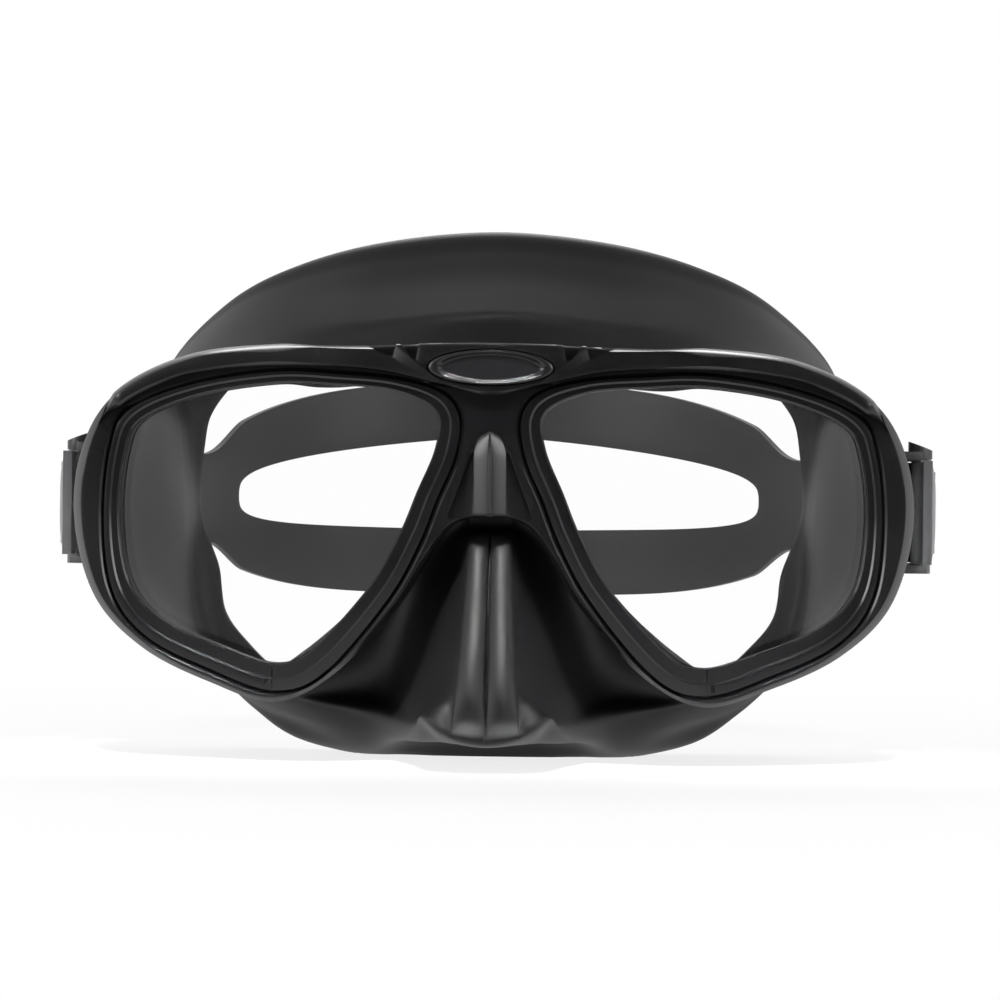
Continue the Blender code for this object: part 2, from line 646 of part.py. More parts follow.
def strap(material, parent):
    path = strap_path()
    heights = [path[:, 2] - path[:, 3], path[:, 2] - path[:, 4], path[:, 2] + path[:, 4], path[:, 2] + path[:, 3]]
    points = np.vstack([np.column_stack([path[:, 0], path[:, 1], z]) for z in heights])
    count = len(path)
    lower = loft_faces(2, count)
    upper = loft_faces(2, count, base=2 * count)
    obj = solid("strap", points, lower + upper, material, parent, recalculate=False)
    add_mirror(obj)
    thick = obj.modifiers.new("thickness", "SOLIDIFY")
    thick.thickness = STRAP_THICKNESS * MM
    thick.offset = 0.0
    thick.use_even_offset = True
    return obj


def shaft(name, axis, centre, low, high, radius, material, parent, steps=20, bore=None):
    """A cylinder along an axis; a bore makes it a tube."""
    outer = circle(centre, radius, steps)
    if bore is None:
        return outline_prism(name, outer, low, high, axis, material, parent)
    inner = circle(centre, bore, steps)
    order = {"x": (1, 2, 0), "z": (0, 1, 2)}[axis]
    loops = []
    for ring, height in ((inner, low), (outer, low), (outer, high), (inner, high)):
        loop = np.zeros((steps, 3))
        loop[:, order[0]] = [p[0] for p in ring]
        loop[:, order[1]] = [p[1] for p in ring]
        loop[:, order[2]] = height
        loops.append(loop)
    return swept_ring(name, loops, material, parent)


def turned(name, profile, side, steps, material, parent):
    """A solid turned about the swivel axis from (radius, x) pairs; the ends lie on the axis."""
    turn = np.linspace(0, 2 * math.pi, steps, endpoint=False)
    loops = [
        np.column_stack([np.full(steps, side * x), SWIVEL_Y + r * np.cos(turn), SWIVEL_Z + r * np.sin(turn)])
        for r, x in profile
    ]
    points = np.vstack(loops)
    faces = loft_faces(len(loops), steps, close_columns=True)
    faces += [tuple(range(steps)), tuple(range(len(points) - steps, len(points)))]
    return solid(name, points, faces, material, parent)


def buckle(prefix, side, materials, root, strap_pivot):
    """One side's buckle: stud and cap on the frame's lug, body, roller, axle, lever and lever pin."""
    plastic, steel, lever_plastic = materials
    stud_end = BASE_OUTER_X + GAP
    turned(f"{prefix}_swivel_stud", [
        (STUD_RADIUS + 1.4, LUG_INNER_X - GAP - STUD_HEAD), (STUD_RADIUS + 1.4, LUG_INNER_X - GAP),
        (STUD_RADIUS, LUG_INNER_X - GAP), (STUD_RADIUS, stud_end),
        (CAP_SPIGOT + GAP, stud_end), (CAP_SPIGOT + GAP, LUG_OUTER_X),
    ], side, 24, steel, root)
    turned(f"{prefix}_swivel_cap", [
        (CAP_SPIGOT, LUG_OUTER_X + GAP), (CAP_SPIGOT, stud_end + GAP), (STUD_RADIUS + 1.6, stud_end + GAP),
        (STUD_RADIUS + 1.6, stud_end + GAP + 0.6), (STUD_RADIUS + 1.0, stud_end + GAP + 1.2),
    ], side, 24, steel, root)

    back_y = ROLLER_Y + CHEEK_BACK
    base_outline = arc((SWIVEL_Y, SWIVEL_Z), BASE_RADIUS, 90, 270, 13)
    base_outline += [(CHEEK_FRONT_Y, SWIVEL_Z - CHEEK_OUTER_Z), (back_y, SWIVEL_Z - CHEEK_OUTER_Z)]
    base_outline += [(back_y, SWIVEL_Z + CHEEK_OUTER_Z), (CHEEK_FRONT_Y, SWIVEL_Z + CHEEK_OUTER_Z)]
    body = outline_prism(
        f"{prefix}_buckle_body", base_outline, side * BASE_INNER_X, side * BASE_OUTER_X, "x", plastic, strap_pivot)
    for end, label in ((1, "upper"), (-1, "lower")):
        cheek = cheek_outline(back_y)
        low = SWIVEL_Z + end * CHEEK_INNER_Z
        high = SWIVEL_Z + end * CHEEK_OUTER_Z
        block = outline_prism(
            f"{prefix}_{label}_cheek", [(side * x, y) for x, y in cheek], low, high, "z", plastic, strap_pivot)
        boolean(body, block, "UNION")
    pin_top = SWIVEL_Z + CHEEK_OUTER_Z + KNUCKLE_HEIGHT
    knuckle = shaft(f"{prefix}_knuckle", "z", (side * LEVER_PIN_X, LEVER_PIN_Y), SWIVEL_Z + CHEEK_INNER_Z + GAP, pin_top,
                    KNUCKLE_RADIUS, plastic, strap_pivot, 20)
    boolean(body, knuckle, "UNION")
    reach = CHEEK_OUTER_Z + KNUCKLE_HEIGHT + 1.0
    cutters = [
        shaft(f"{prefix}_swivel_hole", "x", (SWIVEL_Y, SWIVEL_Z), side * (BASE_INNER_X - 1), side * (BASE_OUTER_X + 1),
              STUD_RADIUS + GAP, plastic, strap_pivot, 24),
        shaft(f"{prefix}_axle_hole", "z", (side * ROLLER_X, ROLLER_Y), SWIVEL_Z - reach, SWIVEL_Z + reach,
              AXLE_RADIUS + GAP, plastic, strap_pivot, 16),
        shaft(f"{prefix}_pin_hole", "z", (side * LEVER_PIN_X, LEVER_PIN_Y), SWIVEL_Z - reach, SWIVEL_Z + reach,
              LEVER_PIN_RADIUS + GAP, plastic, strap_pivot, 16),
    ]
    for cutter in cutters:
        boolean(body, cutter, "DIFFERENCE")

    shaft(f"{prefix}_roller_axle", "z", (side * ROLLER_X, ROLLER_Y), SWIVEL_Z - CHEEK_OUTER_Z,
          SWIVEL_Z + CHEEK_OUTER_Z, AXLE_RADIUS, steel, strap_pivot, 16)
    roller_pivot = pivot(f"{prefix}_roller_pivot", (side * ROLLER_X, ROLLER_Y, SWIVEL_Z), strap_pivot)
    shaft(f"{prefix}_strap_roller", "z", (side * ROLLER_X, ROLLER_Y), SWIVEL_Z - STRAP_END_HALF,
          SWIVEL_Z + STRAP_END_HALF, ROLLER_RADIUS, steel, roller_pivot, 20, AXLE_RADIUS + GAP)
    shaft(f"{prefix}_lever_pin", "z", (side * LEVER_PIN_X, LEVER_PIN_Y), SWIVEL_Z - CHEEK_OUTER_Z, pin_top,
          LEVER_PIN_RADIUS, steel, strap_pivot, 16)
    lever_pivot = pivot(f"{prefix}_lever_pivot", (side * LEVER_PIN_X, LEVER_PIN_Y, SWIVEL_Z), strap_pivot)
    release_lever(prefix, side, lever_plastic, lever_pivot)


def cheek_outline(back_y):
    """Side of the buckle, seen from above: from its base plate out to the lever pin, rounded at the corners."""
    outer = LEVER_PIN_X + LEVER_PIN_RADIUS + 1.5
    low = BASE_INNER_X + 0.2
    return [
        (low, CHEEK_FRONT_Y), (outer - 3.5, CHEEK_FRONT_Y), (outer - 0.8, CHEEK_FRONT_Y + 1.2), (outer, CHEEK_FRONT_Y + 3.2),
        (outer, LEVER_PIN_Y + 4.0), (outer - 1.2, LEVER_PIN_Y + 8.0), (outer - 2.4, back_y - 4.0),
        (outer - 4.6, back_y), (low, back_y),
    ]


def release_lever(prefix, side, material, parent):
    """Leaf over the strap's tail, with a barrel round its pin and a thumb end in front."""
    half = CHEEK_INNER_Z - GAP
    thick = LEVER_THICKNESS
    barrel = LEVER_PIN_RADIUS + GAP + 0.8
    inner = LEVER_INNER_X
    pin = (LEVER_PIN_X, LEVER_PIN_Y)
    side_view = [(inner + thick, LEVER_BACK_Y - 1.5), (inner + thick * 0.4, LEVER_BACK_Y), (inner, LEVER_BACK_Y)]
    meet = math.degrees(math.acos((inner - pin[0]) / barrel))
    side_view += arc(pin, barrel, meet, 360 - meet, 15)
    side_view += [(inner + 0.2, LEVER_FRONT_Y + 6.0), (inner - 0.9, LEVER_FRONT_Y), (inner + thick * 0.5, LEVER_FRONT_Y - 0.4)]
    side_view += [(inner + thick, LEVER_FRONT_Y + 2.0), (inner + thick, LEVER_PIN_Y)]
    leaf = outline_prism(
        f"{prefix}_release_lever", [(side * x, y) for x, y in side_view], SWIVEL_Z - half, SWIVEL_Z + half, "z",
        material, parent)
    hole = shaft(f"{prefix}_lever_bore", "z", (side * pin[0], pin[1]), SWIVEL_Z - half - 1, SWIVEL_Z + half + 1,
                 LEVER_PIN_RADIUS + GAP, material, parent, 16)
    boolean(leaf, hole, "DIFFERENCE")
    return leaf


def main():
    for obj in list(bpy.data.objects):
        bpy.data.objects.remove(obj)

    frame_plastic = plain_material("frame_black_plastic", (0.012, 0.012, 0.013), 0.22)
    ring_plastic = plain_material("ring_black_plastic", (0.014, 0.014, 0.015), 0.18)
    trim_plastic = plain_material("trim_black_plastic", (0.013, 0.013, 0.014), 0.25)
    badge_plastic = plain_material("badge_black_plastic", (0.016, 0.016, 0.018), 0.3)
    glass = plain_material("tempered_glass", (0.9, 0.95, 0.94), 0.02, transmission=0.95)
    skirt_silicone = plain_material("skirt_black_silicone", (0.02, 0.02, 0.021), 0.5)
    strap_silicone = plain_material("strap_black_silicone", (0.018, 0.018, 0.019), 0.45)
    buckle_plastic = plain_material("buckle_grey_plastic", (0.05, 0.05, 0.055), 0.4)
    lever_plastic = plain_material("lever_grey_plastic", (0.06, 0.06, 0.065), 0.38)
    pin_steel = plain_material("stainless_steel", (0.55, 0.55, 0.56), 0.3, metallic=1.0)

    root = pivot("diving_mask", (0.0, 0.0, 0.0))
    strap_pivot = pivot("strap_pivot", (0.0, SWIVEL_Y, SWIVEL_Z), root)
    outline = LensOutline(SEGMENT_STEPS)

    frame = main_frame(outline, frame_plastic, root)
    for side, prefix in ((1, "left"), (-1, "right")):
        boolean(frame, buckle_lug(f"{prefix}_lug", side, frame_plastic, root), "UNION")
    for side, prefix in ((1, "left"), (-1, "right")):
        hole = shaft(f"{prefix}_stud_hole", "x", (SWIVEL_Y, SWIVEL_Z), side * (LUG_INNER_X - 1),
                     side * (LUG_OUTER_X + 1), STUD_RADIUS + GAP, frame_plastic, root, 24)
        boolean(frame, hole, "DIFFERENCE")
    mirrored_copy(lens_ring(outline, ring_plastic, root), "right_lens_ring")
    mirrored_copy(lens(outline, glass, root), "right_lens")
    brow_trim(outline, trim_plastic, root)
    badge_plate("bridge_badge", 0.0, BROW_CROWN - BADGE_DEPTH, BROW_CROWN + BADGE_PROUD, badge_plastic, root)
    skirt_points = skirt(outline, skirt_silicone, root)
    strap(strap_silicone, strap_pivot)
    for side, prefix in ((1, "left"), (-1, "right")):
        buckle(prefix, side, (buckle_plastic, pin_steel, lever_plastic), root, strap_pivot)

    front_y = float(skirt_points[:, 1].min())
    back_y = LOOP_START_Y + LOOP_DEPTH + STRAP_THICKNESS / 2
    root.location = (0.0, -(front_y + back_y) / 2 * MM, -(SKIRT_BOTTOM_Z + STANDING_LAND) * MM)


main()
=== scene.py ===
"""Looks of the diving mask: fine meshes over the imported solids, moulded and glass finishes, light and camera.

Shape sizes are in millimetres in the mask's modelling frame: X to the wearer's left, Y from the glass back
to the head, Z up, with zero in the middle of the glass. to_row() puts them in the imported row's metres.
"""

import json
import math

import bmesh
import bpy
import numpy as np
from mathutils import Matrix, Vector


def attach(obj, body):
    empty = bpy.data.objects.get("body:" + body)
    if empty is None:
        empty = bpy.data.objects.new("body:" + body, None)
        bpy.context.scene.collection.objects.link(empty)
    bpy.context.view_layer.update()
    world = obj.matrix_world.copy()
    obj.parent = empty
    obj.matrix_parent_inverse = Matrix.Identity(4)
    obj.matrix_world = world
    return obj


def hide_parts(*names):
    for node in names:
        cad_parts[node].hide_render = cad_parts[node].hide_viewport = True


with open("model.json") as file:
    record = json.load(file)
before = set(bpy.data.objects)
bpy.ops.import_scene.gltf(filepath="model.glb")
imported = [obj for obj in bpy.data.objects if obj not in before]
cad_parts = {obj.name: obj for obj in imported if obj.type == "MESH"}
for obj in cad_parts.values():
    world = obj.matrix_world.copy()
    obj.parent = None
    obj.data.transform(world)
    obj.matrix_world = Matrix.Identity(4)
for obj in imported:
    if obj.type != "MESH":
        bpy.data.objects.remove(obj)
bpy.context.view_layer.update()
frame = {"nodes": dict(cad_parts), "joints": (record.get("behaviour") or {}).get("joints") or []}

MM = 0.001
GAP = 0.3

# Where the modelling frame's zero lies in the row: the strap's joint gives the swivel
SWIVEL_Y = 39.0
SWIVEL_Z = -1.5
swing = next(joint for joint in frame["joints"] if joint["name"] == "strap_swing")
ROW_ZERO = np.array(swing["pos_m"]) - np.array([0.0, SWIVEL_Y, SWIVEL_Z]) * MM

# Photograph: an almost straight front view, a little from the right and a little rolled
PIXELS_PER_MM = 5.35  # at the glass
MIDDLE_PIXEL_X = 490.3
PHOTO_PIXELS = 1000.0
CAMERA_DISTANCE = 700.0
CAMERA_YAW = 1.7
CAMERA_ROLL = 0.7
SENSOR_MM = 36.0

# Glass plane
WRAP_SLOPE = 0.19
TILT_SLOPE = 0.08
BRIDGE_HALF = 6.0

# Lens opening, clockwise from the inner end of the brow: x, z, lens ring width, frame flange width
STATIONS = np.array([
    (17.9, 20.0, 2.3, 0.0),
    (29.1, 21.1, 2.2, 5.2),
    (40.3, 21.4, 2.3, 5.1),
    (55.2, 19.1, 2.4, 5.6),
    (66.5, 14.4, 2.9, 4.4),
    (69.6, 8.2, 3.0, 5.6),
    (70.8, -3.9, 3.0, 6.2),
    (68.8, -16.3, 3.7, 4.0),
    (62.7, -23.2, 4.5, 2.3),
    (50.7, -28.3, 5.0, 2.3),
    (40.4, -31.3, 5.3, 2.0),
    (33.2, -28.3, 5.0, 1.3),
    (22.3, -16.1, 4.4, 2.2),
    (16.9, -6.4, 4.3, 2.7),
    (13.8, 1.1, 4.1, 0.0),
    (10.3, 9.6, 4.1, 0.0),
    (10.2, 16.2, 3.6, 0.0),
])
ARCH_STATION = 14
BRIDGE_TOP_Z = 29.0
BRIDGE_ARCH_Z = -3.2
ARCH_SHOULDER = (6.0, -4.3)
FINE_STEPS = 12

# Depths from the back of the glass, positive towards the front
LENS_THICKNESS = 4.0
LENS_SEAT_SHARE = 0.6
FRAME_BACK = -2.6
SKIRT_SEAT = -3.3
FRAME_FLOOR = 3.0
# Height of the frame's rim by station: low under the brow trim, high round the sides and the nose
FRAME_RIM = np.array([
    (0.0, 3.1), (3.9, 3.1), (4.6, 4.8), (5.4, 5.5), (12.3, 5.5), (13.3, 5.4), (15.5, 5.4), (15.6, 5.1),
    (16.3, 5.1), (16.6, 3.1), (17.0, 3.1),
])
# Outer chamfer of the frame by station: how far in, how far down
RIM_CHAMFER = np.array([
    (0.0, 0.6, 0.6), (3.8, 0.6, 0.6), (4.8, 1.5, 2.4), (6.0, 1.9, 3.4), (7.4, 1.5, 3.0), (8.6, 0.9, 1.6),
    (11.0, 0.8, 1.0), (13.0, 0.9, 0.8), (17.0, 0.9, 0.8),
])
CHANNEL_WIDTH = 0.7
CHANNEL_DEPTH = 0.6
LEDGE_OFFSET = 1.2
RING_CROWN = 5.4
RING_EDGE = 4.95
RING_LIP = 0.35
RING_STEP_SHARE = 0.5
RING_STEP_WIDTH = 0.4
RING_STEP_RISE = 0.05
RING_ROUND_WIDTH = 0.2
RING_ROUND_DROP = 0.1
RING_SIDE_DROP = 0.4
RING_BEVEL = 0.08
EDGE_CHAMFER = 0.6
SEAM_X = 41.0
SEAM_WIDTH = 0.3
SEAM_TOP_Z = -29.0
SEAM_FOOT_Z = -39.0
SEAM_DEPTH = 0.7
SEAM_CUT_HEIGHT = 6.0
GLASS_CHAMFER = 0.3
GLASS_SHARP_ANGLE = 20
FRAME_BEVEL = 0.18
SHARP_ANGLE = 24
LUG_ROOT_DEPTH = 1.0
LUG_ROOT_FLARE = 2.0

# Nose bridge: a pair of round ribs between two sunk panels
SADDLE_START = 15.5
SADDLE_END = 16.6
SADDLE_RUN_IN = 0.6
SADDLE_RUN_OUT = 0.3
SADDLE_SAG = 0.8
BRIDGE_LOOPS = 6
BRIDGE_FIRST_SHARE = 0.1
PANEL_DEPTH = 4.3
PANEL_CUT_HEIGHT = 5.0
PANEL_CORNERS = (
    (3.5, 8.6), (3.3, 9.0), (3.0, 8.6), (3.1, -2.7), (3.5, -3.1), (6.8, -3.75), (7.6, -3.4), (7.7, -2.6),
)
RIB_HALF = 3.05
RIB_TOP_Z = 12.6
RIB_POINT_Z = 7.6
RIB_FOOT_Z = -2.9
RIB_HEIGHT = 6.9
RIB_EDGE = 5.35
RIB_SLOPE = 0.8
RIB_GROOVE_HALF = 0.3
RIB_GROOVE_DEPTH = 0.35
RIB_ROWS = 40
RIB_COLUMNS = 61

BROW_CROWN = 6.9
# Upper chamfer of the brow trim by distance from the middle: how far in, how far down
BROW_CHAMFER = np.array([
    (0.0, 0.4, 0.5), (20.0, 0.4, 0.5), (23.0, 1.6, 3.3), (58.0, 1.6, 3.3), (72.0, 0.9, 1.6),
])
BROW_EDGE = np.array([
    (0.0, 19.4), (9.3, 21.3), (21.3, 23.9), (40.3, 24.8), (55.3, 23.4), (63.3, 20.9), (69.7, 17.5),
    (74.0, 13.5),
])
BROW_END = 4.65
BROW_POINTS = 141
BROW_TIP_POINTS = 18
BROW_TIP_INSET = 1.4
BROW_TIP_WIDTH_SHARE = 0.15
BROW_TIP_CROWN_SHARE = 0.4
BROW_FULL_WIDTH = 3.0
BROW_SEAT_LIFT = 0.1
BROW_BEVEL = 0.16
NOTCH_FRONT_Y = -20.0
NOTCH_BACK_Y = 12.0
# Sawtooth notches in the brow trim's upper edge: outer shoulder, foot, inner shoulder
BROW_NOTCHES = (
    ((23.4, 28.6), (19.0, 26.3), (18.3, 26.3), (17.6, 28.8), (17.8, 33.0), (23.0, 33.0)),
    ((17.0, 28.8), (14.6, 25.9), (13.9, 25.9), (13.3, 29.0), (13.5, 33.0), (16.8, 33.0)),
)
BADGE_HALF_LENGTH = 11.6
BADGE_HALF_HEIGHT = 3.2
BADGE_Z = 24.5
BADGE_DEPTH = 1.4
BADGE_PROUD = 0.4
BADGE_DISH = 0.9
BADGE_RIM_SHARE = 0.9
BADGE_FLOOR_SHARE = 0.74
BADGE_SEAT_CUT_HEIGHT = 4.0
# Rounded edge of the badge: shares of its size, and its drop at each
BADGE_EDGE = ((0.93, 0.0), (0.96, 0.0), (0.985, -0.1), (1.0, -0.3))
OVAL_POINTS = 96

# Skirt
SKIRT_WALL = 1.6
GASKET_OFFSET = 0.9
GASKET_SHARE = 0.4
SKIRT_OFFSET = 1.6
SKIRT_TOP_Z = 52.7
SKIRT_BOTTOM_Z = -50.8
SKIRT_HALF_WIDTH = 66.5
SKIRT_TOP_INSET = 3.5
FOREHEAD_Y = 37.0
UPPER_LIP_Y = 33.0
TEMPLE_Y = 60.0
SEAL_HALF_WIDTH = 65.0
SEAL_ROUNDING = 0.74
SEAL_ROUNDING_TOP = 0.116
SEAL_ROUNDING_BOTTOM = 0.077
SEAL_INSET = 2.5
SEAL_TEMPLE_INSET = 0.75
SEAL_LIP_DEPTH = 1.0
SEAL_TEMPLE_LIP_DEPTH = 3.2
SEAL_TOP_Z = 39.0
SEAL_BOTTOM_Z = -42.5
SEAL_DEPTH = 7.0
SEAL_BACK_LIFT = 0.5
TEMPLE_REACH = 0.5
STANDING_LAND = 0.6
# The skirt's crest at each station, as shares of its half width and height, and how late its wall flares
CREST = (
    (0.0, 1.0), (0.331, 0.964), (0.602, 0.88), (0.82, 0.746), (1.012, 0.493), (0.99, 0.228), (0.968, -0.06),
    (0.96, -0.339), (0.925, -0.55), (0.836, -0.7), (0.725, -0.831), (0.6, -0.933), (0.413, -0.988),
    (0.25, -0.996),
)
WALL_FLARE = (2.2, 2.2, 2.1, 1.9, 1.6, 1.3, 1.3, 1.3, 1.4, 1.6, 1.7)
WALL_RUN_BACK = 0.9
STANDING_END = 2.6
STANDING_OVER = 2.2
SKIRT_ROW_STEPS = 5
# The forehead stays low behind the brow, then stands up: shares of its way back and of its height, by row
FOREHEAD_WALL = np.array([
    (0.0, 0.0), (0.22, 0.0), (0.4, 0.04), (0.435, 0.13), (0.445, 0.25), (0.46, 0.36), (0.54, 0.46),
    (0.72, 0.66), (0.87, 0.85),
])

# Nose pocket: its middle line (y, z) from under the bridge to the upper lip, and one ridge's width row by row
NOSE_LINE = np.array([
    (3.5, -1.0), (5.4, -5.2), (0.6, -8.6), (-6.6, -22.0), (-12.2, -34.0), (-14.2, -40.8), (-15.4, -45.0),
    (4.0, -46.3), (29.0, -47.0), (33.0, SKIRT_BOTTOM_Z), (40.0, SKIRT_BOTTOM_Z + 0.5),
    (41.0, SEAL_BOTTOM_Z),
])
NOSE_RIDGE_WIDTH = np.array([4.0, 4.0, 4.2, 4.8, 5.6, 6.3, 6.6, 7.0, 7.8, 7.8, 7.8, 7.8])
NOSE_RIDGE_SHARE = np.array([0.0, 0.1, 1.0, 1.0, 1.0, 0.5, 0.0, 0.0, 0.0, 0.0, 0.0, 0.0])
NOSE_RIDGE_RISE = 2.0
NOSE_RIDGE_PARTS = (1.0, 0.95, 0.85, 0.7, 0.5, 0.3, 0.15, 0.06, 0.0)
NOSE_CREST_SHARE = 0.149
NOSE_COLUMN_STEPS = 3
# The rim under the ridges curves up to both sides: its rise at the rim's half width, row by row
NOSE_RIM_HALF_WIDTH = 12.4
NOSE_RIM_Y = -9.0
NOSE_RIM_SHARE = 0.45
NOSE_RIM_RISE = np.array([0.0, 0.0, 0.0, 0.0, 0.0, 1.2, 4.6, 1.2, 0.0, 0.0, 0.0, 0.0])
# Flank columns beside the ridges, outer one first: how far out, back and up from the ridge's foot, row by row
NOSE_FLANKS = (
    np.array([
        (3.4, 0.0, 0.0), (2.2, 2.4, 0.0), (1.7, 5.6, 0.0), (1.6, 6.4, 0.0), (1.6, 6.6, 0.0), (4.4, 3.4, 1.0),
        (5.6, 5.0, 0.0), (3.0, 1.0, 0.0), *[(2.2, 0.0, 0.0)] * 4,
    ]),
    np.array([
        (1.0, 0.0, 0.0), (0.6, 0.9, 0.0), (0.5, 2.4, 0.0), (0.5, 2.8, 0.0), (0.6, 2.8, 0.0), (2.0, 0.5, 1.6),
        (2.8, 1.4, 0.0), (1.4, 0.4, 0.0), *[(1.0, 0.0, 0.0)] * 4,
    ]),
)
# The skirt's columns beside the nose, by station: points from behind the frame down to the crest
NOSE_SIDE_COLUMNS = {
    11: [(34.3, 16.0, -30.2), (34.8, 21.0, -32.0), (35.2, 25.0, -34.0), (35.7, 27.5, -36.0),
         (36.2, 28.5, -38.0), (36.9, 28.5, -40.0), (37.6, 32.5, -43.0), (38.4, 38.0, -44.8)],
    12: [(20.6, 13.0, -18.5), (20.2, 20.0, -23.5), (20.2, 24.0, -29.0), (20.6, 25.5, -34.0),
         (21.4, 24.5, -38.4), (22.4, 20.5, -40.9), (23.6, 22.5, -44.8), (25.2, 29.0, -48.4)],
    13: [(13.0, 10.5, -9.0), (12.2, 12.0, -16.0), (12.4, 11.5, -25.0), (13.0, 8.5, -33.5),
         (13.8, 2.0, -39.6), (14.2, 0.0, -43.0), (14.6, 9.0, -45.8), (15.5, 28.0, -46.9)],
}

# Strap and buckles
LUG_INNER_X = 72.6
LUG_THICKNESS = 2.2
LUG_HALF_HEIGHT = 7.0
STUD_RADIUS = 3.0
STUD_HEAD = 1.2
STUD_HEAD_REACH = 1.4
STUD_HEAD_CHAMFER = 0.3
CAP_SPIGOT = 1.3
# Outside of the stud cap: how far past the stud, how high
CAP_EDGE = ((1.6, 0.0), (1.6, 0.5), (1.35, 0.95), (1.0, 1.2))
BASE_THICKNESS = 1.6
STRAP_THICKNESS = 1.7
STRAP_END_HALF = 10.0
ROLLER_RADIUS = 1.6
ROLLER_Y = 57.0
AXLE_RADIUS = 0.7
CHEEK_THICKNESS = 1.8
LEVER_PIN_Y = 47.0
LEVER_PIN_RADIUS = 0.7
LEVER_PIN_SINK = 0.6
LEVER_THICKNESS = 1.7
LEVER_FRONT_Y = 35.0
LEVER_END_THIN = 0.9
LEVER_END_REACH = 0.2
LEVER_CUTS = 20
LEVER_BEVEL = 0.3
BUCKLE_BEVEL = 0.8
KNUCKLE_HEIGHT = 2.0
KNUCKLE_SLOPE = 1.8
TAIL_LENGTH = 38.0
TAIL_CORNER = 4.0
TAIL_POINTS = 26
TURN_POINTS = 33
RUN_POINTS = 25
LOOP_SIDE_POINTS = 33
LOOP_SPLIT_POINTS = 65
STRAP_BAND_ROWS = 5
STRAP_BEVEL = 0.4
LOOP_BULGE = 1.15
LOOP_START_Y = 100.0
LOOP_DEPTH = 92.0
STRAP_BACK_Z = 3.0
STRAP_BACK_HALF = 25.0
PAD_START = 0.34
PAD_SOFT_START = 0.2
SPLIT_HALF = 11.3
SPLIT_RISE = 0.9
SPLIT_CROWDING = 1.6
SPLIT_END_BLUNTNESS = 0.3
LOOP_SHIFT_X = -4.6
SPLIT_HALF_LENGTH = 60.0
LUG_OUTER_X = LUG_INNER_X + LUG_THICKNESS
BASE_OUTER_X = LUG_OUTER_X + GAP + BASE_THICKNESS
INNER_RUN_X = BASE_OUTER_X + GAP + STRAP_THICKNESS / 2
LOOP_HALF_WIDTH = INNER_RUN_X + LOOP_BULGE
TURN_RADIUS = ROLLER_RADIUS + GAP + STRAP_THICKNESS / 2
ROLLER_X = INNER_RUN_X + TURN_RADIUS
OUTER_RUN_X = ROLLER_X + TURN_RADIUS
LEVER_INNER_X = OUTER_RUN_X + STRAP_THICKNESS / 2 + GAP
LEVER_PIN_X = LEVER_INNER_X - LEVER_PIN_SINK
CHEEK_OUTER_Z = STRAP_END_HALF + GAP + CHEEK_THICKNESS
TAIL_RIB_STEP = 2.4
TAIL_RIB_RADIUS = 0.45
TAIL_RIB_START = 13.0
TAIL_RIB_COUNT = 9
TAIL_RIB_SINK = 0.15
TAIL_RIB_MARGIN = 2.5
GRIP_RIB_STEP = 1.4
GRIP_RIB_RADIUS = 0.42
GRIP_RIB_START = 3.2
GRIP_RIB_COUNT = 4
GRIP_RIB_SINK = 0.02
GRIP_RIB_MARGIN = 2.0
ROUND_STEPS = 56
ROUND_SHARP_ANGLE = 40

# Light: how bright the tent and the floor are by direction or distance, as reflections see them
TENT_DARK_Y = -1.0
TENT_LIGHT_Y = 0.0
TENT_DARK = 0.05
TENT_CEILING_START = 0.45
TENT_CEILING_END = 0.95
TENT_CEILING = 0.5
FLOOR_NEAR = 50.0 * MM
FLOOR_FAR = 320.0 * MM
FLOOR_FADE = 0.8
FLOOR_DIM_Y = -320.0 * MM
FLOOR_WHITE_Y = -40.0 * MM
FLOOR_DIM = 0.1
FLOOR_HALF = 3000.0
# Softboxes: name, place, aim, width and height, watts, spread in degrees
SOFTBOXES = (
    ("back_top_softbox", (-20.0, 450.0, 475.0), (0.0, 20.0, 20.0), (400.0, 160.0), 1.5, 180.0),
    ("front_top_softbox", (0.0, -350.0, 505.0), (0.0, -4.0, -14.0), (200.0, 36.0), 0.08, 9.0),
    ("left_front_softbox", (520.0, -300.0, 60.0), (0.0, 0.0, 0.0), (260.0, 400.0), 1.7, 180.0),
    ("right_front_softbox", (-520.0, -300.0, 60.0), (0.0, 0.0, 0.0), (260.0, 400.0), 2.1, 180.0),
)


# Shape helpers

def lens_plane(x, z):
    """Depth of the back of the glass under a front-view point."""
    side = np.abs(x)
    reach = np.where(side < BRIDGE_HALF, side**2 / (2 * BRIDGE_HALF) + BRIDGE_HALF / 2, side)
    return WRAP_SLOPE * reach - TILT_SLOPE * z


def on_plane(flat, depth):
    """Front-view points (x, z) set a depth in front of the back of the glass, as 3-D points."""
    flat = np.asarray(flat, float)
    y = lens_plane(flat[:, 0], flat[:, 1]) - depth
    return np.column_stack([flat[:, 0], y, flat[:, 1]])


def to_row(points):
    """Modelling millimetres to the row's metres."""
    return np.asarray(points, float) * MM + ROW_ZERO


def smooth(share):
    share = np.clip(share, 0, 1)
    return share * share * (3 - 2 * share)


def spline_segment(before, start, end, after, steps):
    """Catmull-Rom points from start up to, and without, end."""
    t = np.linspace(0, 1, steps, endpoint=False)[:, None]
    slope_in = (end - before) / 2
    slope_out = (after - start) / 2
    return ((2 * t**3 - 3 * t**2 + 1) * start + (t**3 - 2 * t**2 + t) * slope_in
            + (3 * t**2 - 2 * t**3) * end + (t**3 - t**2) * slope_out)


def closed_spline(points, steps):
    points = np.asarray(points, float)
    count = len(points)
    return np.vstack([
        spline_segment(points[i - 1], points[i], points[(i + 1) % count], points[(i + 2) % count], steps)
        for i in range(count)
    ])


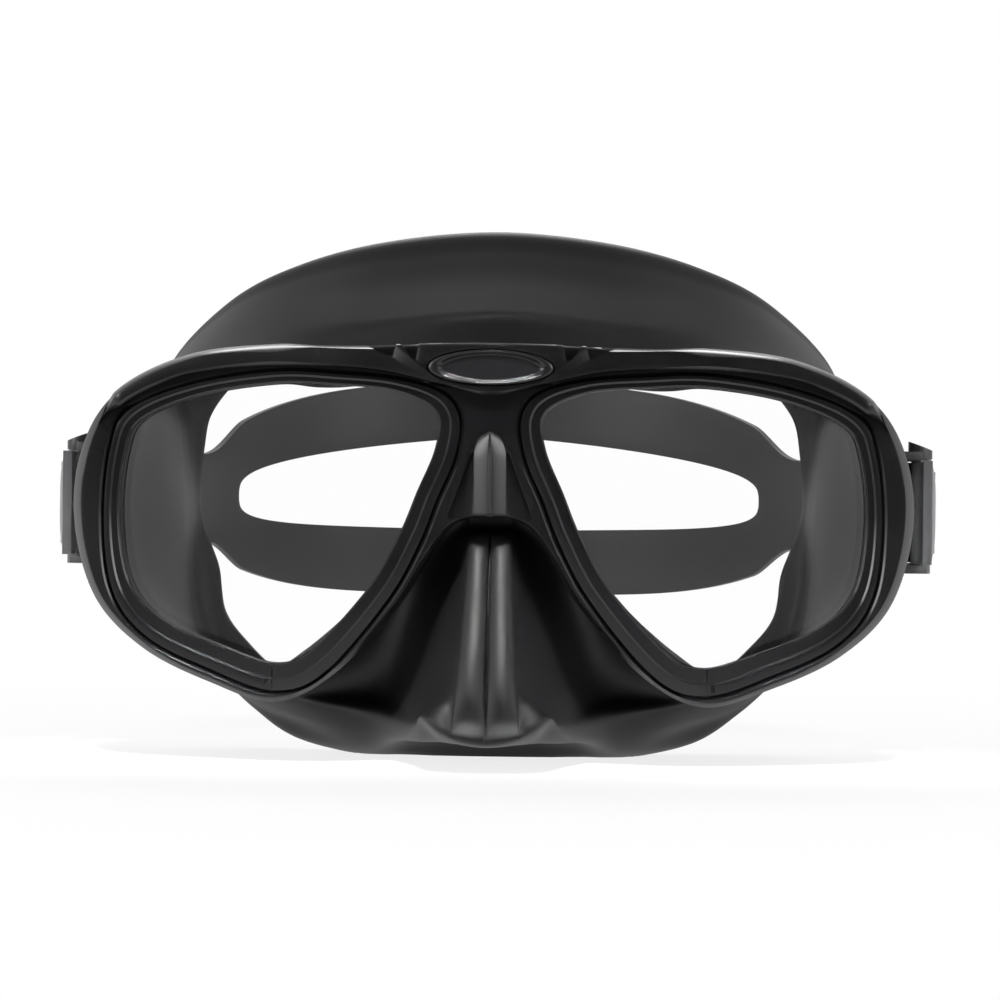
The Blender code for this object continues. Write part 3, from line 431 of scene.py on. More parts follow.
def open_spline(points, steps, before=None, after=None):
    """Spline through all the points, both ends included."""
    points = np.asarray(points, float)
    first = 2 * points[0] - points[1] if before is None else np.asarray(before, float)
    last = 2 * points[-1] - points[-2] if after is None else np.asarray(after, float)
    padded = np.vstack([first, points, last])
    runs = [spline_segment(*padded[i:i + 4], steps) for i in range(len(points) - 1)]
    return np.vstack([*runs, points[-1:]])


def resampled(line, count):
    """A polyline of (x, z) points spread over a new number of points, by index."""
    index = np.linspace(0, len(line) - 1, count)
    whole = np.arange(len(line))
    return np.column_stack([np.interp(index, whole, line[:, axis]) for axis in range(line.shape[1])])


def mirrored(point):
    flipped = np.array(point, float)
    flipped[0] = -flipped[0]
    return flipped


def arc(centre, radius, start_deg, end_deg, steps):
    turn = np.radians(np.linspace(start_deg, end_deg, steps))
    return [(centre[0] + radius * math.cos(t), centre[1] + radius * math.sin(t)) for t in turn]


def loft_faces(rows, columns, close_rows=False, close_columns=False, base=0):
    """Quads of a grid of rows x columns points stored row by row."""
    faces = []
    for r in range(rows if close_rows else rows - 1):
        for c in range(columns if close_columns else columns - 1):
            s = (r + 1) % rows
            d = (c + 1) % columns
            corners = (r * columns + c, r * columns + d, s * columns + d, s * columns + c)
            faces.append(tuple(base + i for i in corners))
    return faces


def end_caps(rows, columns):
    """One flat face over the first row of a grid's points and one over the last."""
    last = (rows - 1) * columns
    return [tuple(range(columns)), tuple(range(last, last + columns))]


def oval_cap(base):
    """Strips across a loop of OVAL_POINTS points, in place of one face with many corners."""
    last = OVAL_POINTS - 1
    strips = [(i, i + 1, last - i, (OVAL_POINTS - i) % OVAL_POINTS) for i in range(OVAL_POINTS // 2)]
    return [tuple(base + corner for corner in dict.fromkeys(strip)) for strip in strips]


class LensOutline:
    """The closed front-view loops of the left half: lens opening, ring edge and frame edge."""

    def __init__(self, steps):
        self.steps = steps
        self.opening = closed_spline(STATIONS[:, :2], steps)
        along = np.roll(self.opening, -1, axis=0) - np.roll(self.opening, 1, axis=0)
        normal = np.column_stack([-along[:, 1], along[:, 0]])
        self.normal = normal / np.linalg.norm(normal, axis=1)[:, None]
        self.ring = closed_spline(STATIONS[:, 2:3], steps)[:, 0]
        self.station = np.arange(len(self.opening)) / steps
        self.rim = np.interp(self.station, FRAME_RIM[:, 0], FRAME_RIM[:, 1])
        self.edge = self._frame_edge()

    def offset(self, distance):
        """The opening moved outwards by a distance, or by one distance for each point."""
        return self.opening + self.normal * np.broadcast_to(distance, len(self.opening))[:, None]

    def _frame_edge(self):
        at_stations = self.offset(self.ring)[::self.steps] + self.normal[::self.steps] * STATIONS[:, 3:]
        top = np.array([0.0, BRIDGE_TOP_Z])
        arch = np.array([0.0, BRIDGE_ARCH_Z])
        path = np.vstack([top, at_stations[1:ARCH_STATION], ARCH_SHOULDER, arch])
        rim = open_spline(path, self.steps, mirrored(path[1]), mirrored(path[-2]))
        last = (ARCH_STATION - 1) * self.steps
        rim = np.vstack([rim[:last], rim[last::2]])
        bridge_steps = (len(STATIONS) - ARCH_STATION) * self.steps
        rise = np.linspace(0, 1, bridge_steps, endpoint=False)[1:, None]
        return np.vstack([rim, arch + (top - arch) * rise])

    def brow_stretch(self, values, count):
        """Values along the frame's edge over the brow trim's length, from the middle outwards."""
        index = np.linspace(0, BROW_END * self.steps, count)
        whole = np.arange(len(self.opening))
        values = np.asarray(values, float).reshape(len(self.opening), -1)
        return np.column_stack([np.interp(index, whole, column) for column in values.T])


outline = LensOutline(FINE_STEPS)


# Mesh helpers

def in_scene(name, data):
    """A new object for a mesh, light or camera, linked to the scene."""
    obj = bpy.data.objects.new(name, data)
    bpy.context.scene.collection.objects.link(obj)
    return obj


def row_mesh(name, points, faces):
    """A mesh from modelling points, in the row's metres."""
    mesh = bpy.data.meshes.new(name)
    mesh.from_pydata(to_row(points).tolist(), [], [tuple(face) for face in faces])
    return mesh


def piece(name, points, faces, material, body, recalculate=True):
    """A shaded mesh object in the row frame, riding on a body."""
    return shaded_piece(name, row_mesh(name, points, faces), material, body, recalculate)


def shaded_piece(name, mesh, material, body, recalculate=True):
    work = bmesh.new()
    work.from_mesh(mesh)
    bmesh.ops.remove_doubles(work, verts=work.verts, dist=1e-7)
    if recalculate:
        bmesh.ops.recalc_face_normals(work, faces=work.faces)
    work.to_mesh(mesh)
    work.free()
    mesh.shade_smooth()
    mesh.materials.clear()
    mesh.materials.append(material)
    obj = in_scene(name, mesh)
    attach(obj, body)
    return obj


def settle(obj):
    """Turn an object's modifiers into its plain mesh."""
    bpy.context.view_layer.update()
    graph = bpy.context.evaluated_depsgraph_get()
    mesh = bpy.data.meshes.new_from_object(obj.evaluated_get(graph))
    obj.modifiers.clear()
    obj.data = mesh
    return obj


def add_mirror(obj):
    """Complete a half shape across the row's X = 0, where the object's origin is."""
    mirror = obj.modifiers.new("halves", "MIRROR")
    mirror.merge_threshold = 1e-5


def add_bevel(obj, width, segments=3, angle=30):
    bevel = obj.modifiers.new("edges", "BEVEL")
    bevel.width = width * MM
    bevel.segments = segments
    bevel.limit_method = "ANGLE"
    bevel.angle_limit = math.radians(angle)


def add_thickness(obj, thickness, offset, group=""):
    """Give a surface a wall; a vertex group holds each point's share of it."""
    wall = obj.modifiers.new("wall", "SOLIDIFY")
    wall.vertex_group = group
    wall.thickness = thickness * MM
    wall.offset = offset
    wall.use_even_offset = True


def cut_away(obj, cutters, operation="DIFFERENCE"):
    """Cut closed shapes out of a piece, or join them to it, and drop them."""
    for cutter in cutters:
        cut = obj.modifiers.new("cut", "BOOLEAN")
        cut.operation = operation
        cut.object = cutter
        cut.solver = "EXACT"
    settle(obj)
    for cutter in cutters:
        bpy.data.objects.remove(cutter)


def closed_shape(name, points, faces):
    """A closed helper mesh in the row frame, for cutting or joining."""
    mesh = row_mesh(name, points, faces)
    work = bmesh.new()
    work.from_mesh(mesh)
    bmesh.ops.recalc_face_normals(work, faces=work.faces)
    work.to_mesh(mesh)
    work.free()
    return in_scene(name, mesh)


def prism(name, flat, low, high, axis):
    """A closed extrusion of a flat outline along an axis."""
    order = {"x": (1, 2, 0), "y": (0, 2, 1), "z": (0, 1, 2)}[axis]
    count = len(flat)
    points = np.zeros((2 * count, 3))
    for end, height in enumerate((low, high)):
        rows = slice(end * count, (end + 1) * count)
        points[rows, order[0]] = [p[0] for p in flat]
        points[rows, order[1]] = [p[1] for p in flat]
        points[rows, order[2]] = height
    return closed_shape(name, points, end_caps(2, count) + loft_faces(2, count, close_columns=True))


def mirrored_piece(obj, name, body):
    """The other half's piece: the same mesh reflected in X, on its own body."""
    mesh = obj.data.copy()
    for vertex in mesh.vertices:
        vertex.co.x = -vertex.co.x
    mesh.flip_normals()
    return shaded_piece(name, mesh, obj.data.materials[0], body, recalculate=False)


def on_mirror_plane(points, face):
    return all(abs(points[i][0]) < 1e-6 for i in face)


def turned_piece(name, profile, centre, axis, material, body, hollow=False):
    """A solid turned about an axis from (radius, height) pairs, with flat ends or, if hollow, a bore."""
    turn = np.linspace(0, 2 * math.pi, ROUND_STEPS, endpoint=False)
    order = {"x": (1, 2, 0), "z": (0, 1, 2)}[axis]
    loops = []
    for radius, height in profile:
        loop = np.zeros((ROUND_STEPS, 3))
        loop[:, order[0]] = centre[0] + radius * np.cos(turn)
        loop[:, order[1]] = centre[1] + radius * np.sin(turn)
        loop[:, order[2]] = height
        loops.append(loop)
    faces = loft_faces(len(loops), ROUND_STEPS, close_rows=hollow, close_columns=True)
    if not hollow:
        faces += end_caps(len(loops), ROUND_STEPS)
    return piece(name, np.vstack(loops), faces, material, body)


# Finishes

def finish(name, colour, roughness, metallic=0.0):
    """A new material; returns it with its node tree and shader."""
    material = bpy.data.materials.new(name)
    material.use_nodes = True
    shader = material.node_tree.nodes["Principled BSDF"]
    shader.inputs["Base Color"].default_value = (*colour, 1.0)
    shader.inputs["Roughness"].default_value = roughness
    shader.inputs["Metallic"].default_value = metallic
    return material, material.node_tree, shader


def noise_on_object(tree, scale, detail=2.0, stretch=(1.0, 1.0, 1.0)):
    """Noise on Object coordinates; the scale is features per metre."""
    place = tree.nodes.new("ShaderNodeTexCoord")
    turn = tree.nodes.new("ShaderNodeMapping")
    turn.inputs["Scale"].default_value = stretch
    noise = tree.nodes.new("ShaderNodeTexNoise")
    noise.inputs["Scale"].default_value = scale
    noise.inputs["Detail"].default_value = detail
    tree.links.new(place.outputs["Object"], turn.inputs["Vector"])
    tree.links.new(turn.outputs["Vector"], noise.inputs["Vector"])
    return noise.outputs["Fac"]


def ranged(tree, source, low, high):
    """A noise value spread over a range."""
    ramp = tree.nodes.new("ShaderNodeMapRange")
    ramp.inputs["From Min"].default_value = 0.3
    ramp.inputs["From Max"].default_value = 0.7
    ramp.inputs["To Min"].default_value = low
    ramp.inputs["To Max"].default_value = high
    tree.links.new(source, ramp.inputs["Value"])
    return ramp.outputs["Result"]


def tinted(tree, shader, source, dark, light):
    """Base colour that drifts between two tones with a noise."""
    mix = tree.nodes.new("ShaderNodeMix")
    mix.data_type = "RGBA"
    mix.inputs["A"].default_value = (*dark, 1.0)
    mix.inputs["B"].default_value = (*light, 1.0)
    tree.links.new(ranged(tree, source, 0.0, 1.0), mix.inputs["Factor"])
    tree.links.new(mix.outputs["Result"], shader.inputs["Base Color"])


def grained(tree, shader, source, strength, height):
    """Fine surface relief; the height is in metres."""
    bump = tree.nodes.new("ShaderNodeBump")
    bump.inputs["Strength"].default_value = strength
    bump.inputs["Distance"].default_value = height
    tree.links.new(source, bump.inputs["Height"])
    tree.links.new(bump.outputs["Normal"], shader.inputs["Normal"])


def moulded_plastic(name, dark, light, gloss, matt, grain_scale, grain_height):
    """Injection-moulded plastic: drifting gloss, faint mould texture, near-even colour."""
    material, tree, shader = finish(name, dark, gloss)
    drift = noise_on_object(tree, 60.0, 3.0)
    tinted(tree, shader, drift, dark, light)
    tree.links.new(ranged(tree, drift, gloss, matt), shader.inputs["Roughness"])
    grained(tree, shader, noise_on_object(tree, grain_scale, 2.0), 0.25, grain_height)
    return material


def soft_silicone(name, dark, light, gloss, matt):
    """Satin silicone: a cloudy bloom in the gloss and a fine mould grain."""
    material, tree, shader = finish(name, dark, gloss)
    shader.inputs["IOR"].default_value = 1.41
    bloom = noise_on_object(tree, 25.0, 4.0)
    tinted(tree, shader, bloom, dark, light)
    tree.links.new(ranged(tree, bloom, gloss, matt), shader.inputs["Roughness"])
    grained(tree, shader, noise_on_object(tree, 900.0, 2.0), 0.02, 0.00001)
    return material


def brushed_pin_steel(name):
    """Stainless steel with turning marks."""
    material, tree, shader = finish(name, (0.56, 0.56, 0.57), 0.28, 1.0)
    marks = noise_on_object(tree, 900.0, 2.0, (0.2, 0.2, 6.0))
    tree.links.new(ranged(tree, marks, 0.2, 0.38), shader.inputs["Roughness"])
    grained(tree, shader, marks, 0.15, 0.00002)
    return material


def clear_glass(name):
    """Clear tempered glass that lets light through to the inside of the mask."""
    material, tree, shader = finish(name, (1.0, 1.0, 1.0), 0.0)
    shader.inputs["IOR"].default_value = 1.3
    shader.inputs["Transmission Weight"].default_value = 1.0
    tree.links.new(ranged(tree, noise_on_object(tree, 40.0, 3.0), 0.0, 0.012), shader.inputs["Roughness"])
    clear = tree.nodes.new("ShaderNodeBsdfTransparent")
    path = tree.nodes.new("ShaderNodeLightPath")
    mix = tree.nodes.new("ShaderNodeMixShader")
    tree.links.new(path.outputs["Is Shadow Ray"], mix.inputs["Fac"])
    tree.links.new(shader.outputs["BSDF"], mix.inputs[1])
    tree.links.new(clear.outputs["BSDF"], mix.inputs[2])
    tree.links.new(mix.outputs["Shader"], tree.nodes["Material Output"].inputs["Surface"])
    return material


frame_black = moulded_plastic(
    "frame_gloss_black", (0.004, 0.004, 0.0045), (0.006, 0.006, 0.0065), 0.16, 0.24, 2600.0, 0.00001)
ring_black = moulded_plastic(
    "lens_ring_gloss_black", (0.004, 0.004, 0.0045), (0.006, 0.006, 0.0065), 0.14, 0.22, 2600.0, 0.00001)
trim_black = moulded_plastic(
    "brow_trim_gloss_black", (0.004, 0.004, 0.0045), (0.007, 0.007, 0.0075), 0.2, 0.28, 2200.0, 0.00002)
badge_black = moulded_plastic(
    "badge_gloss_black", (0.010, 0.010, 0.011), (0.014, 0.014, 0.015), 0.18, 0.26, 2200.0, 0.00002)
buckle_grey = moulded_plastic(
    "buckle_textured_grey", (0.028, 0.028, 0.030), (0.038, 0.038, 0.040), 0.38, 0.5, 1800.0, 0.00006)
lever_grey = moulded_plastic(
    "lever_textured_grey", (0.150, 0.151, 0.156), (0.180, 0.181, 0.186), 0.34, 0.46, 1800.0, 0.00006)
skirt_silicone = soft_silicone(
    "skirt_satin_silicone", (0.004, 0.004, 0.0045), (0.006, 0.006, 0.0065), 0.45, 0.57)
strap_silicone = soft_silicone(
    "strap_satin_silicone", (0.011, 0.011, 0.012), (0.016, 0.016, 0.017), 0.42, 0.54)
pin_steel = brushed_pin_steel("pin_stainless_steel")
lens_glass = clear_glass("lens_clear_glass")


# Frame, lens rings, glass, brow trim and badge

def bridge_rows():
    """Shares across the frame's front face and heights on it; the bridge sags a little above its ribs."""
    station = outline.station
    shares = np.tile(np.linspace(BRIDGE_FIRST_SHARE, 1.0, BRIDGE_LOOPS)[:, None], (1, len(station)))
    sag = smooth((station - SADDLE_START) / SADDLE_RUN_IN) * smooth((SADDLE_END - station) / SADDLE_RUN_OUT)
    return shares, outline.rim - SADDLE_SAG * sag * shares ** 2


def panel_cutter(side):
    """The sunk panel beside the ribs, as a shape to cut away."""
    flat = np.array([(side * x, z) for x, z in PANEL_CORNERS])
    count = len(flat)
    points = np.vstack([on_plane(flat, PANEL_DEPTH), on_plane(flat, PANEL_DEPTH + PANEL_CUT_HEIGHT)])
    return closed_shape("panel", points, end_caps(2, count) + loft_faces(2, count, close_columns=True))


def rib_pair():
    """Two round ribs side by side, pointed at the top, as a closed shape to join to the frame."""
    part = np.linspace(-1, 1, RIB_COLUMNS)
    fall = RIB_SLOPE * np.abs(part) + (1 - RIB_SLOPE) * part ** 2
    groove = RIB_GROOVE_DEPTH * np.maximum(1 - np.abs(part) * RIB_HALF / RIB_GROOVE_HALF, 0)
    rows = []
    for z in np.linspace(RIB_FOOT_Z, RIB_TOP_Z, RIB_ROWS):
        below_top = np.clip((RIB_TOP_Z - z) / (RIB_TOP_Z - RIB_POINT_Z), 0.02, 1.0)
        point = math.sqrt(1 - (1 - below_top) ** 2)
        flat = np.column_stack([RIB_HALF * point * part, np.full(len(part), z)])
        top = RIB_HEIGHT - groove * point - (RIB_HEIGHT - RIB_EDGE) * fall * (0.5 + 0.5 * point)
        rows.append(np.vstack([on_plane(flat, top), on_plane(flat[[-1, 0]], FRAME_FLOOR)]))
    count = len(rows[0])
    faces = loft_faces(RIB_ROWS, count, close_columns=True) + end_caps(RIB_ROWS, count)
    return closed_shape("ribs", np.vstack(rows), faces)


def frame_sections(bridge):
    """Loops of the frame from the ledge behind the glass, round the ring's channel, to the outer edge."""
    pocket = outline.ring * LENS_SEAT_SHARE + GAP
    inner = outline.offset(outline.ring + GAP)
    across = outline.edge - inner
    reach = np.maximum(np.linalg.norm(across, axis=1), 0.1)
    chamfer = np.interp(outline.station, RIM_CHAMFER[:, 0], RIM_CHAMFER[:, 1])
    drop = np.interp(outline.station, RIM_CHAMFER[:, 0], RIM_CHAMFER[:, 2])
    shoulder = np.where(bridge, 1.0, np.clip(1 - chamfer / reach, 0.2, 1.0))
    shares, heights = bridge_rows()
    lip = np.minimum(CHANNEL_WIDTH / reach, 0.3)
    sections = [
        on_plane(outline.offset(LEDGE_OFFSET), FRAME_BACK),
        on_plane(outline.offset(LEDGE_OFFSET), -GAP),
        on_plane(outline.offset(pocket), -GAP),
        on_plane(outline.offset(pocket), FRAME_FLOOR),
        on_plane(inner, FRAME_FLOOR),
        on_plane(inner, np.maximum(outline.rim - CHANNEL_DEPTH, FRAME_FLOOR + 0.05)),
        on_plane(inner + across * lip[:, None], outline.rim),
    ]
    for share, height in zip(shares, heights):
        share = np.where(bridge, share, lip + (shoulder - lip) * share)
        sections.append(on_plane(inner + across * share[:, None], height))
    side = np.where(bridge, heights[-1], np.maximum(outline.rim - drop, FRAME_BACK + 1.2))
    return [*sections, on_plane(outline.edge, side), on_plane(outline.edge, FRAME_BACK)]


def lug_shapes():
    """The two plates behind the frame that carry the buckles, and their stud holes, as closed shapes."""
    root_y = float(lens_plane(STATIONS[6, 0], SWIVEL_Z)) - FRAME_FLOOR + LUG_ROOT_DEPTH
    root_half = LUG_HALF_HEIGHT + LUG_ROOT_FLARE
    plate = arc((SWIVEL_Y, SWIVEL_Z), LUG_HALF_HEIGHT, -90, 90, 33)
    plate += [(root_y, SWIVEL_Z + root_half), (root_y, SWIVEL_Z - root_half)]
    hole = arc((SWIVEL_Y, SWIVEL_Z), STUD_RADIUS + GAP, 0, 354, 60)
    lugs = []
    holes = []
    for side in (1, -1):
        lugs.append(prism("lug", plate, side * LUG_INNER_X, side * LUG_OUTER_X, "x"))
        holes.append(prism("stud_hole", hole, side * (LUG_INNER_X - 1), side * (LUG_OUTER_X + 1), "x"))
    return lugs, holes


def frame_piece():
    """Frame and bridge with the channel round the rings, a chamfered rim, ribs, sunk panels and lugs."""
    bridge = np.abs(outline.edge[:, 0]) < 1e-6
    bridge[0] = bridge[ARCH_STATION * outline.steps] = False
    sections = frame_sections(bridge)
    points = np.vstack(sections)
    points[np.abs(points[:, 0]) < 1e-4, 0] = 0.0
    faces = loft_faces(len(sections), len(outline.edge), close_rows=True, close_columns=True)
    faces = [f for f in faces if not on_mirror_plane(points, f)]
    shell = piece("frame_shell", points, faces, frame_black, "mask", recalculate=False)
    add_mirror(shell)
    settle(shell)
    lugs, holes = lug_shapes()
    cut_away(shell, [panel_cutter(side) for side in (1, -1)])
    cut_away(shell, [*lugs, rib_pair()], "UNION")
    cut_away(shell, holes)
    add_bevel(shell, FRAME_BEVEL, 2, 38)
    settle(shell)
    shell.data.set_sharp_from_angle(angle=math.radians(SHARP_ANGLE))
    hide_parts("main_frame")


def lens_ring_pieces():
    """The stepped front rings that hold the glass, each with a fine seam at its lower tip."""
    seat = outline.ring * LENS_SEAT_SHARE + GAP
    step = outline.ring * RING_STEP_SHARE
    front = LENS_THICKNESS + GAP
    sections = [
        on_plane(outline.opening, front),
        on_plane(outline.opening, RING_EDGE - RING_LIP),
        on_plane(outline.offset(RING_LIP), RING_EDGE),
        on_plane(outline.offset(step), RING_EDGE + RING_STEP_RISE),
        on_plane(outline.offset(step + RING_STEP_WIDTH), RING_CROWN),
        on_plane(outline.offset(outline.ring - RING_ROUND_WIDTH), RING_CROWN - RING_ROUND_DROP),
        on_plane(outline.offset(outline.ring), RING_CROWN - RING_SIDE_DROP),
        on_plane(outline.offset(outline.ring), FRAME_FLOOR + GAP),
        on_plane(outline.offset(seat), FRAME_FLOOR + GAP),
        on_plane(outline.offset(seat), front),
    ]
    faces = loft_faces(len(sections), len(outline.opening), close_rows=True, close_columns=True)
    left = piece("left_ring", np.vstack(sections), faces, ring_black, "mask")
    seam_left, seam_right = SEAM_X - SEAM_WIDTH / 2, SEAM_X + SEAM_WIDTH / 2
    seam = [
        (seam_left, SEAM_TOP_Z), (seam_right, SEAM_TOP_Z), (seam_right, SEAM_FOOT_Z), (seam_left, SEAM_FOOT_Z),
    ]
    seam_floor = float(lens_plane(SEAM_X, (SEAM_TOP_Z + SEAM_FOOT_Z) / 2)) - RING_CROWN + SEAM_DEPTH
    cut_away(left, [prism("seam", seam, seam_floor - SEAM_CUT_HEIGHT, seam_floor, "y")])
    add_bevel(left, RING_BEVEL, 2, 50)
    settle(left)
    left.data.set_sharp_from_angle(angle=math.radians(SHARP_ANGLE))
    right = mirrored_piece(left, "right_ring", "mask")
    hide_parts("left_lens_ring")
    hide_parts("right_lens_ring")


def lens_pieces():
    """Flat glass with a fine ground edge."""
    edge = outline.offset(outline.ring * LENS_SEAT_SHARE)
    inset = outline.offset(outline.ring * LENS_SEAT_SHARE - GLASS_CHAMFER)
    loops = [
        on_plane(inset, 0.0), on_plane(edge, GLASS_CHAMFER),
        on_plane(edge, LENS_THICKNESS - GLASS_CHAMFER), on_plane(inset, LENS_THICKNESS),
    ]
    faces = loft_faces(len(loops), len(edge), close_columns=True) + end_caps(len(loops), len(edge))
    left = piece("left_glass", np.vstack(loops), faces, lens_glass, "mask")
    right = mirrored_piece(left, "right_glass", "mask")
    for glass in (left, right):
        glass.data.set_sharp_from_angle(angle=math.radians(GLASS_SHARP_ANGLE))
    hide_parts("left_lens")
    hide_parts("right_lens")


def badge_oval(grow):
    """The badge's outline, grown by a clearance."""
    turn = np.linspace(0, 2 * math.pi, OVAL_POINTS, endpoint=False)
    return np.column_stack([
        (BADGE_HALF_LENGTH + grow) * np.cos(turn), BADGE_Z + (BADGE_HALF_HEIGHT + grow) * np.sin(turn)])


def brow_sections():
    """Long lines of the brow trim from its lower edge over the crown to its upper edge; its tips are thin."""
    tip = smooth(np.arange(BROW_POINTS)[::-1] / BROW_TIP_POINTS)
    tip_inset = outline.brow_stretch(outline.normal, BROW_POINTS) * (BROW_TIP_INSET * (1 - tip))[:, None]
    upper = outline.brow_stretch(outline.edge, BROW_POINTS) - tip_inset
    lower = resampled(open_spline(BROW_EDGE, FINE_STEPS, mirrored(BROW_EDGE[1])), BROW_POINTS)
    span = (upper - lower) * (BROW_TIP_WIDTH_SHARE + (1 - BROW_TIP_WIDTH_SHARE) * tip)[:, None]
    lower = upper - span
    width = np.maximum(np.linalg.norm(span, axis=1), 1e-6)
    chamfer = np.interp(upper[:, 0], BROW_CHAMFER[:, 0], BROW_CHAMFER[:, 1])
    bevel = np.minimum(chamfer / width, 0.45)[:, None]
    drop = np.interp(upper[:, 0], BROW_CHAMFER[:, 0], BROW_CHAMFER[:, 2])
    inset = np.minimum(EDGE_CHAMFER / width, 0.3)[:, None]
    rim = outline.brow_stretch(outline.rim, BROW_POINTS)[:, 0]
    seat = np.maximum(rim, FRAME_FLOOR) + GAP + BROW_SEAT_LIFT
    tip_crown = BROW_TIP_CROWN_SHARE + (1 - BROW_TIP_CROWN_SHARE) * tip
    crown = seat + (BROW_CROWN - seat) * np.clip(width / BROW_FULL_WIDTH, 0.3, 1) * tip_crown
    return [
        on_plane(lower, seat),
        on_plane(lower, np.maximum(crown - EDGE_CHAMFER, seat + 0.1)),
        on_plane(lower + span * inset, crown),
        on_plane(upper - span * bevel, crown),
        on_plane(upper - span * bevel * 0.5, crown - drop * 0.4),
        on_plane(upper, np.maximum(crown - drop, seat + 0.1)),
        on_plane(upper, seat),
    ]


def brow_trim_piece():
    """Trim along the top of the frame with its sawtooth notches and the oval seat of the badge."""
    sections = brow_sections()
    faces = loft_faces(len(sections), BROW_POINTS, close_rows=True)
    faces.append(tuple(r * BROW_POINTS + BROW_POINTS - 1 for r in reversed(range(len(sections)))))
    trim = piece("brow_band", np.vstack(sections), faces, trim_black, "mask", recalculate=False)
    add_mirror(trim)
    settle(trim)
    oval = badge_oval(GAP)
    low = on_plane(oval, BROW_CROWN - BADGE_DEPTH - GAP)
    high = on_plane(oval, BROW_CROWN + BADGE_SEAT_CUT_HEIGHT)
    walls = loft_faces(2, OVAL_POINTS, close_columns=True)
    caps = oval_cap(0) + oval_cap(OVAL_POINTS)
    cutters = [closed_shape("badge_seat", np.vstack([low, high]), walls + caps)]
    for notch in BROW_NOTCHES:
        for side in (1, -1):
            tooth = [(side * x, z) for x, z in notch]
            cutters.append(prism("notch", tooth, NOTCH_FRONT_Y, NOTCH_BACK_Y, "y"))
    cut_away(trim, cutters)
    add_bevel(trim, BROW_BEVEL, 2, 30)
    settle(trim)
    trim.data.set_sharp_from_angle(angle=math.radians(SHARP_ANGLE))
    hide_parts("brow_trim")


def badge_piece():
    """Oval plate with a rounded rim and a bare dished face."""
    edge_shares, edge_drops = zip(*BADGE_EDGE)
    shares = np.concatenate([
        edge_shares[::-1], np.linspace(BADGE_RIM_SHARE, BADGE_FLOOR_SHARE, 6),
        np.linspace(BADGE_FLOOR_SHARE - 0.06, 0.04, 8)])
    dish = -BADGE_DISH * smooth((BADGE_RIM_SHARE - shares) / (BADGE_RIM_SHARE - BADGE_FLOOR_SHARE))
    heights = BROW_CROWN + BADGE_PROUD + np.interp(shares, edge_shares, edge_drops) + dish
    oval = badge_oval(0.0)
    loops = [on_plane(oval, BROW_CROWN - BADGE_DEPTH)]
    for share, height in zip(shares, heights):
        flat = np.column_stack([oval[:, 0] * share, BADGE_Z + (oval[:, 1] - BADGE_Z) * share])
        loops.append(on_plane(flat, height))
    faces = loft_faces(len(loops), OVAL_POINTS, close_columns=True)
    faces.append(end_caps(len(loops), OVAL_POINTS)[1])
    faces += oval_cap(0)
    badge = piece("badge_plate", np.vstack(loops), faces, badge_black, "mask")
    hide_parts("bridge_badge")


# Skirt

def crest_point(share, half_width, top, bottom):
    """Front-view point of an outline with its own half width and heights above and below the middle."""
    across, up = share
    return half_width * across, up * (top if up >= 0 else bottom)


def seal_rows(share):
    """The skirt's outer crest, its back edge and the inner edge of its sealing lip, at one station."""
    x, z = crest_point(share, SKIRT_HALF_WIDTH, SKIRT_TOP_Z, -SKIRT_BOTTOM_Z)
    middle_y = FOREHEAD_Y if z >= 0 else UPPER_LIP_Y
    y = middle_y + (TEMPLE_Y - middle_y) * (x / SKIRT_HALF_WIDTH) ** 2
    back_y = y + SEAL_DEPTH
    from_temple = min((share[1] / TEMPLE_REACH) ** 2, 1)
    inset = SEAL_TEMPLE_INSET + (SEAL_INSET - SEAL_TEMPLE_INSET) * from_temple
    lip_depth = SEAL_TEMPLE_LIP_DEPTH + (SEAL_LIP_DEPTH - SEAL_TEMPLE_LIP_DEPTH) * from_temple
    back_x, back_z = crest_point(
        share, SKIRT_HALF_WIDTH - inset, SKIRT_TOP_Z - SEAL_INSET, -SKIRT_BOTTOM_Z - SEAL_BACK_LIFT)
    most = SEAL_ROUNDING_TOP if share[1] > 0 else SEAL_ROUNDING_BOTTOM
    rounding = min(SEAL_ROUNDING * share[1] ** 2, most)
    lip_x, lip_z = crest_point(share, SEAL_HALF_WIDTH * (1 - rounding), SEAL_TOP_Z, -SEAL_BOTTOM_Z)
    return [(x, y, z), (back_x, back_y, back_z), (lip_x, back_y + lip_depth, lip_z)]


def wall_column(start, crest, flare, standing):
    """Skirt wall from the frame back to the crest: it runs straight back first, then flares or stands up."""
    share = np.linspace(0, 1, len(NOSE_LINE) - 2)[:-1]
    start = np.asarray(start)
    crest = np.asarray(crest)
    back = share ** WALL_RUN_BACK * (1 - standing) + FOREHEAD_WALL[:, 0] * standing
    rise = share ** flare * (2 - share) * (1 - standing) + FOREHEAD_WALL[:, 1] * standing
    return start + (crest - start) * np.column_stack([rise, back, rise])


def skirt_columns():
    """Control columns of the skirt's outer wall, from the middle of the brow round to the nose."""
    start_flat = outline.offset(SKIRT_OFFSET)[::outline.steps]
    columns = []
    for station in range(ARCH_STATION):
        flat = start_flat[station] if station else np.array([0.0, BRIDGE_TOP_Z - SKIRT_TOP_INSET])
        start = on_plane([flat], SKIRT_SEAT)[0]
        seal = seal_rows(CREST[station])
        if station in NOSE_SIDE_COLUMNS:
            wall = np.vstack([start, NOSE_SIDE_COLUMNS[station]])
        else:
            standing = float(smooth((STANDING_END - station) / STANDING_OVER))
            wall = wall_column(start, seal[0], WALL_FLARE[station], standing)
        columns.append(np.vstack([wall, seal]))
    return np.array(columns + nose_columns())


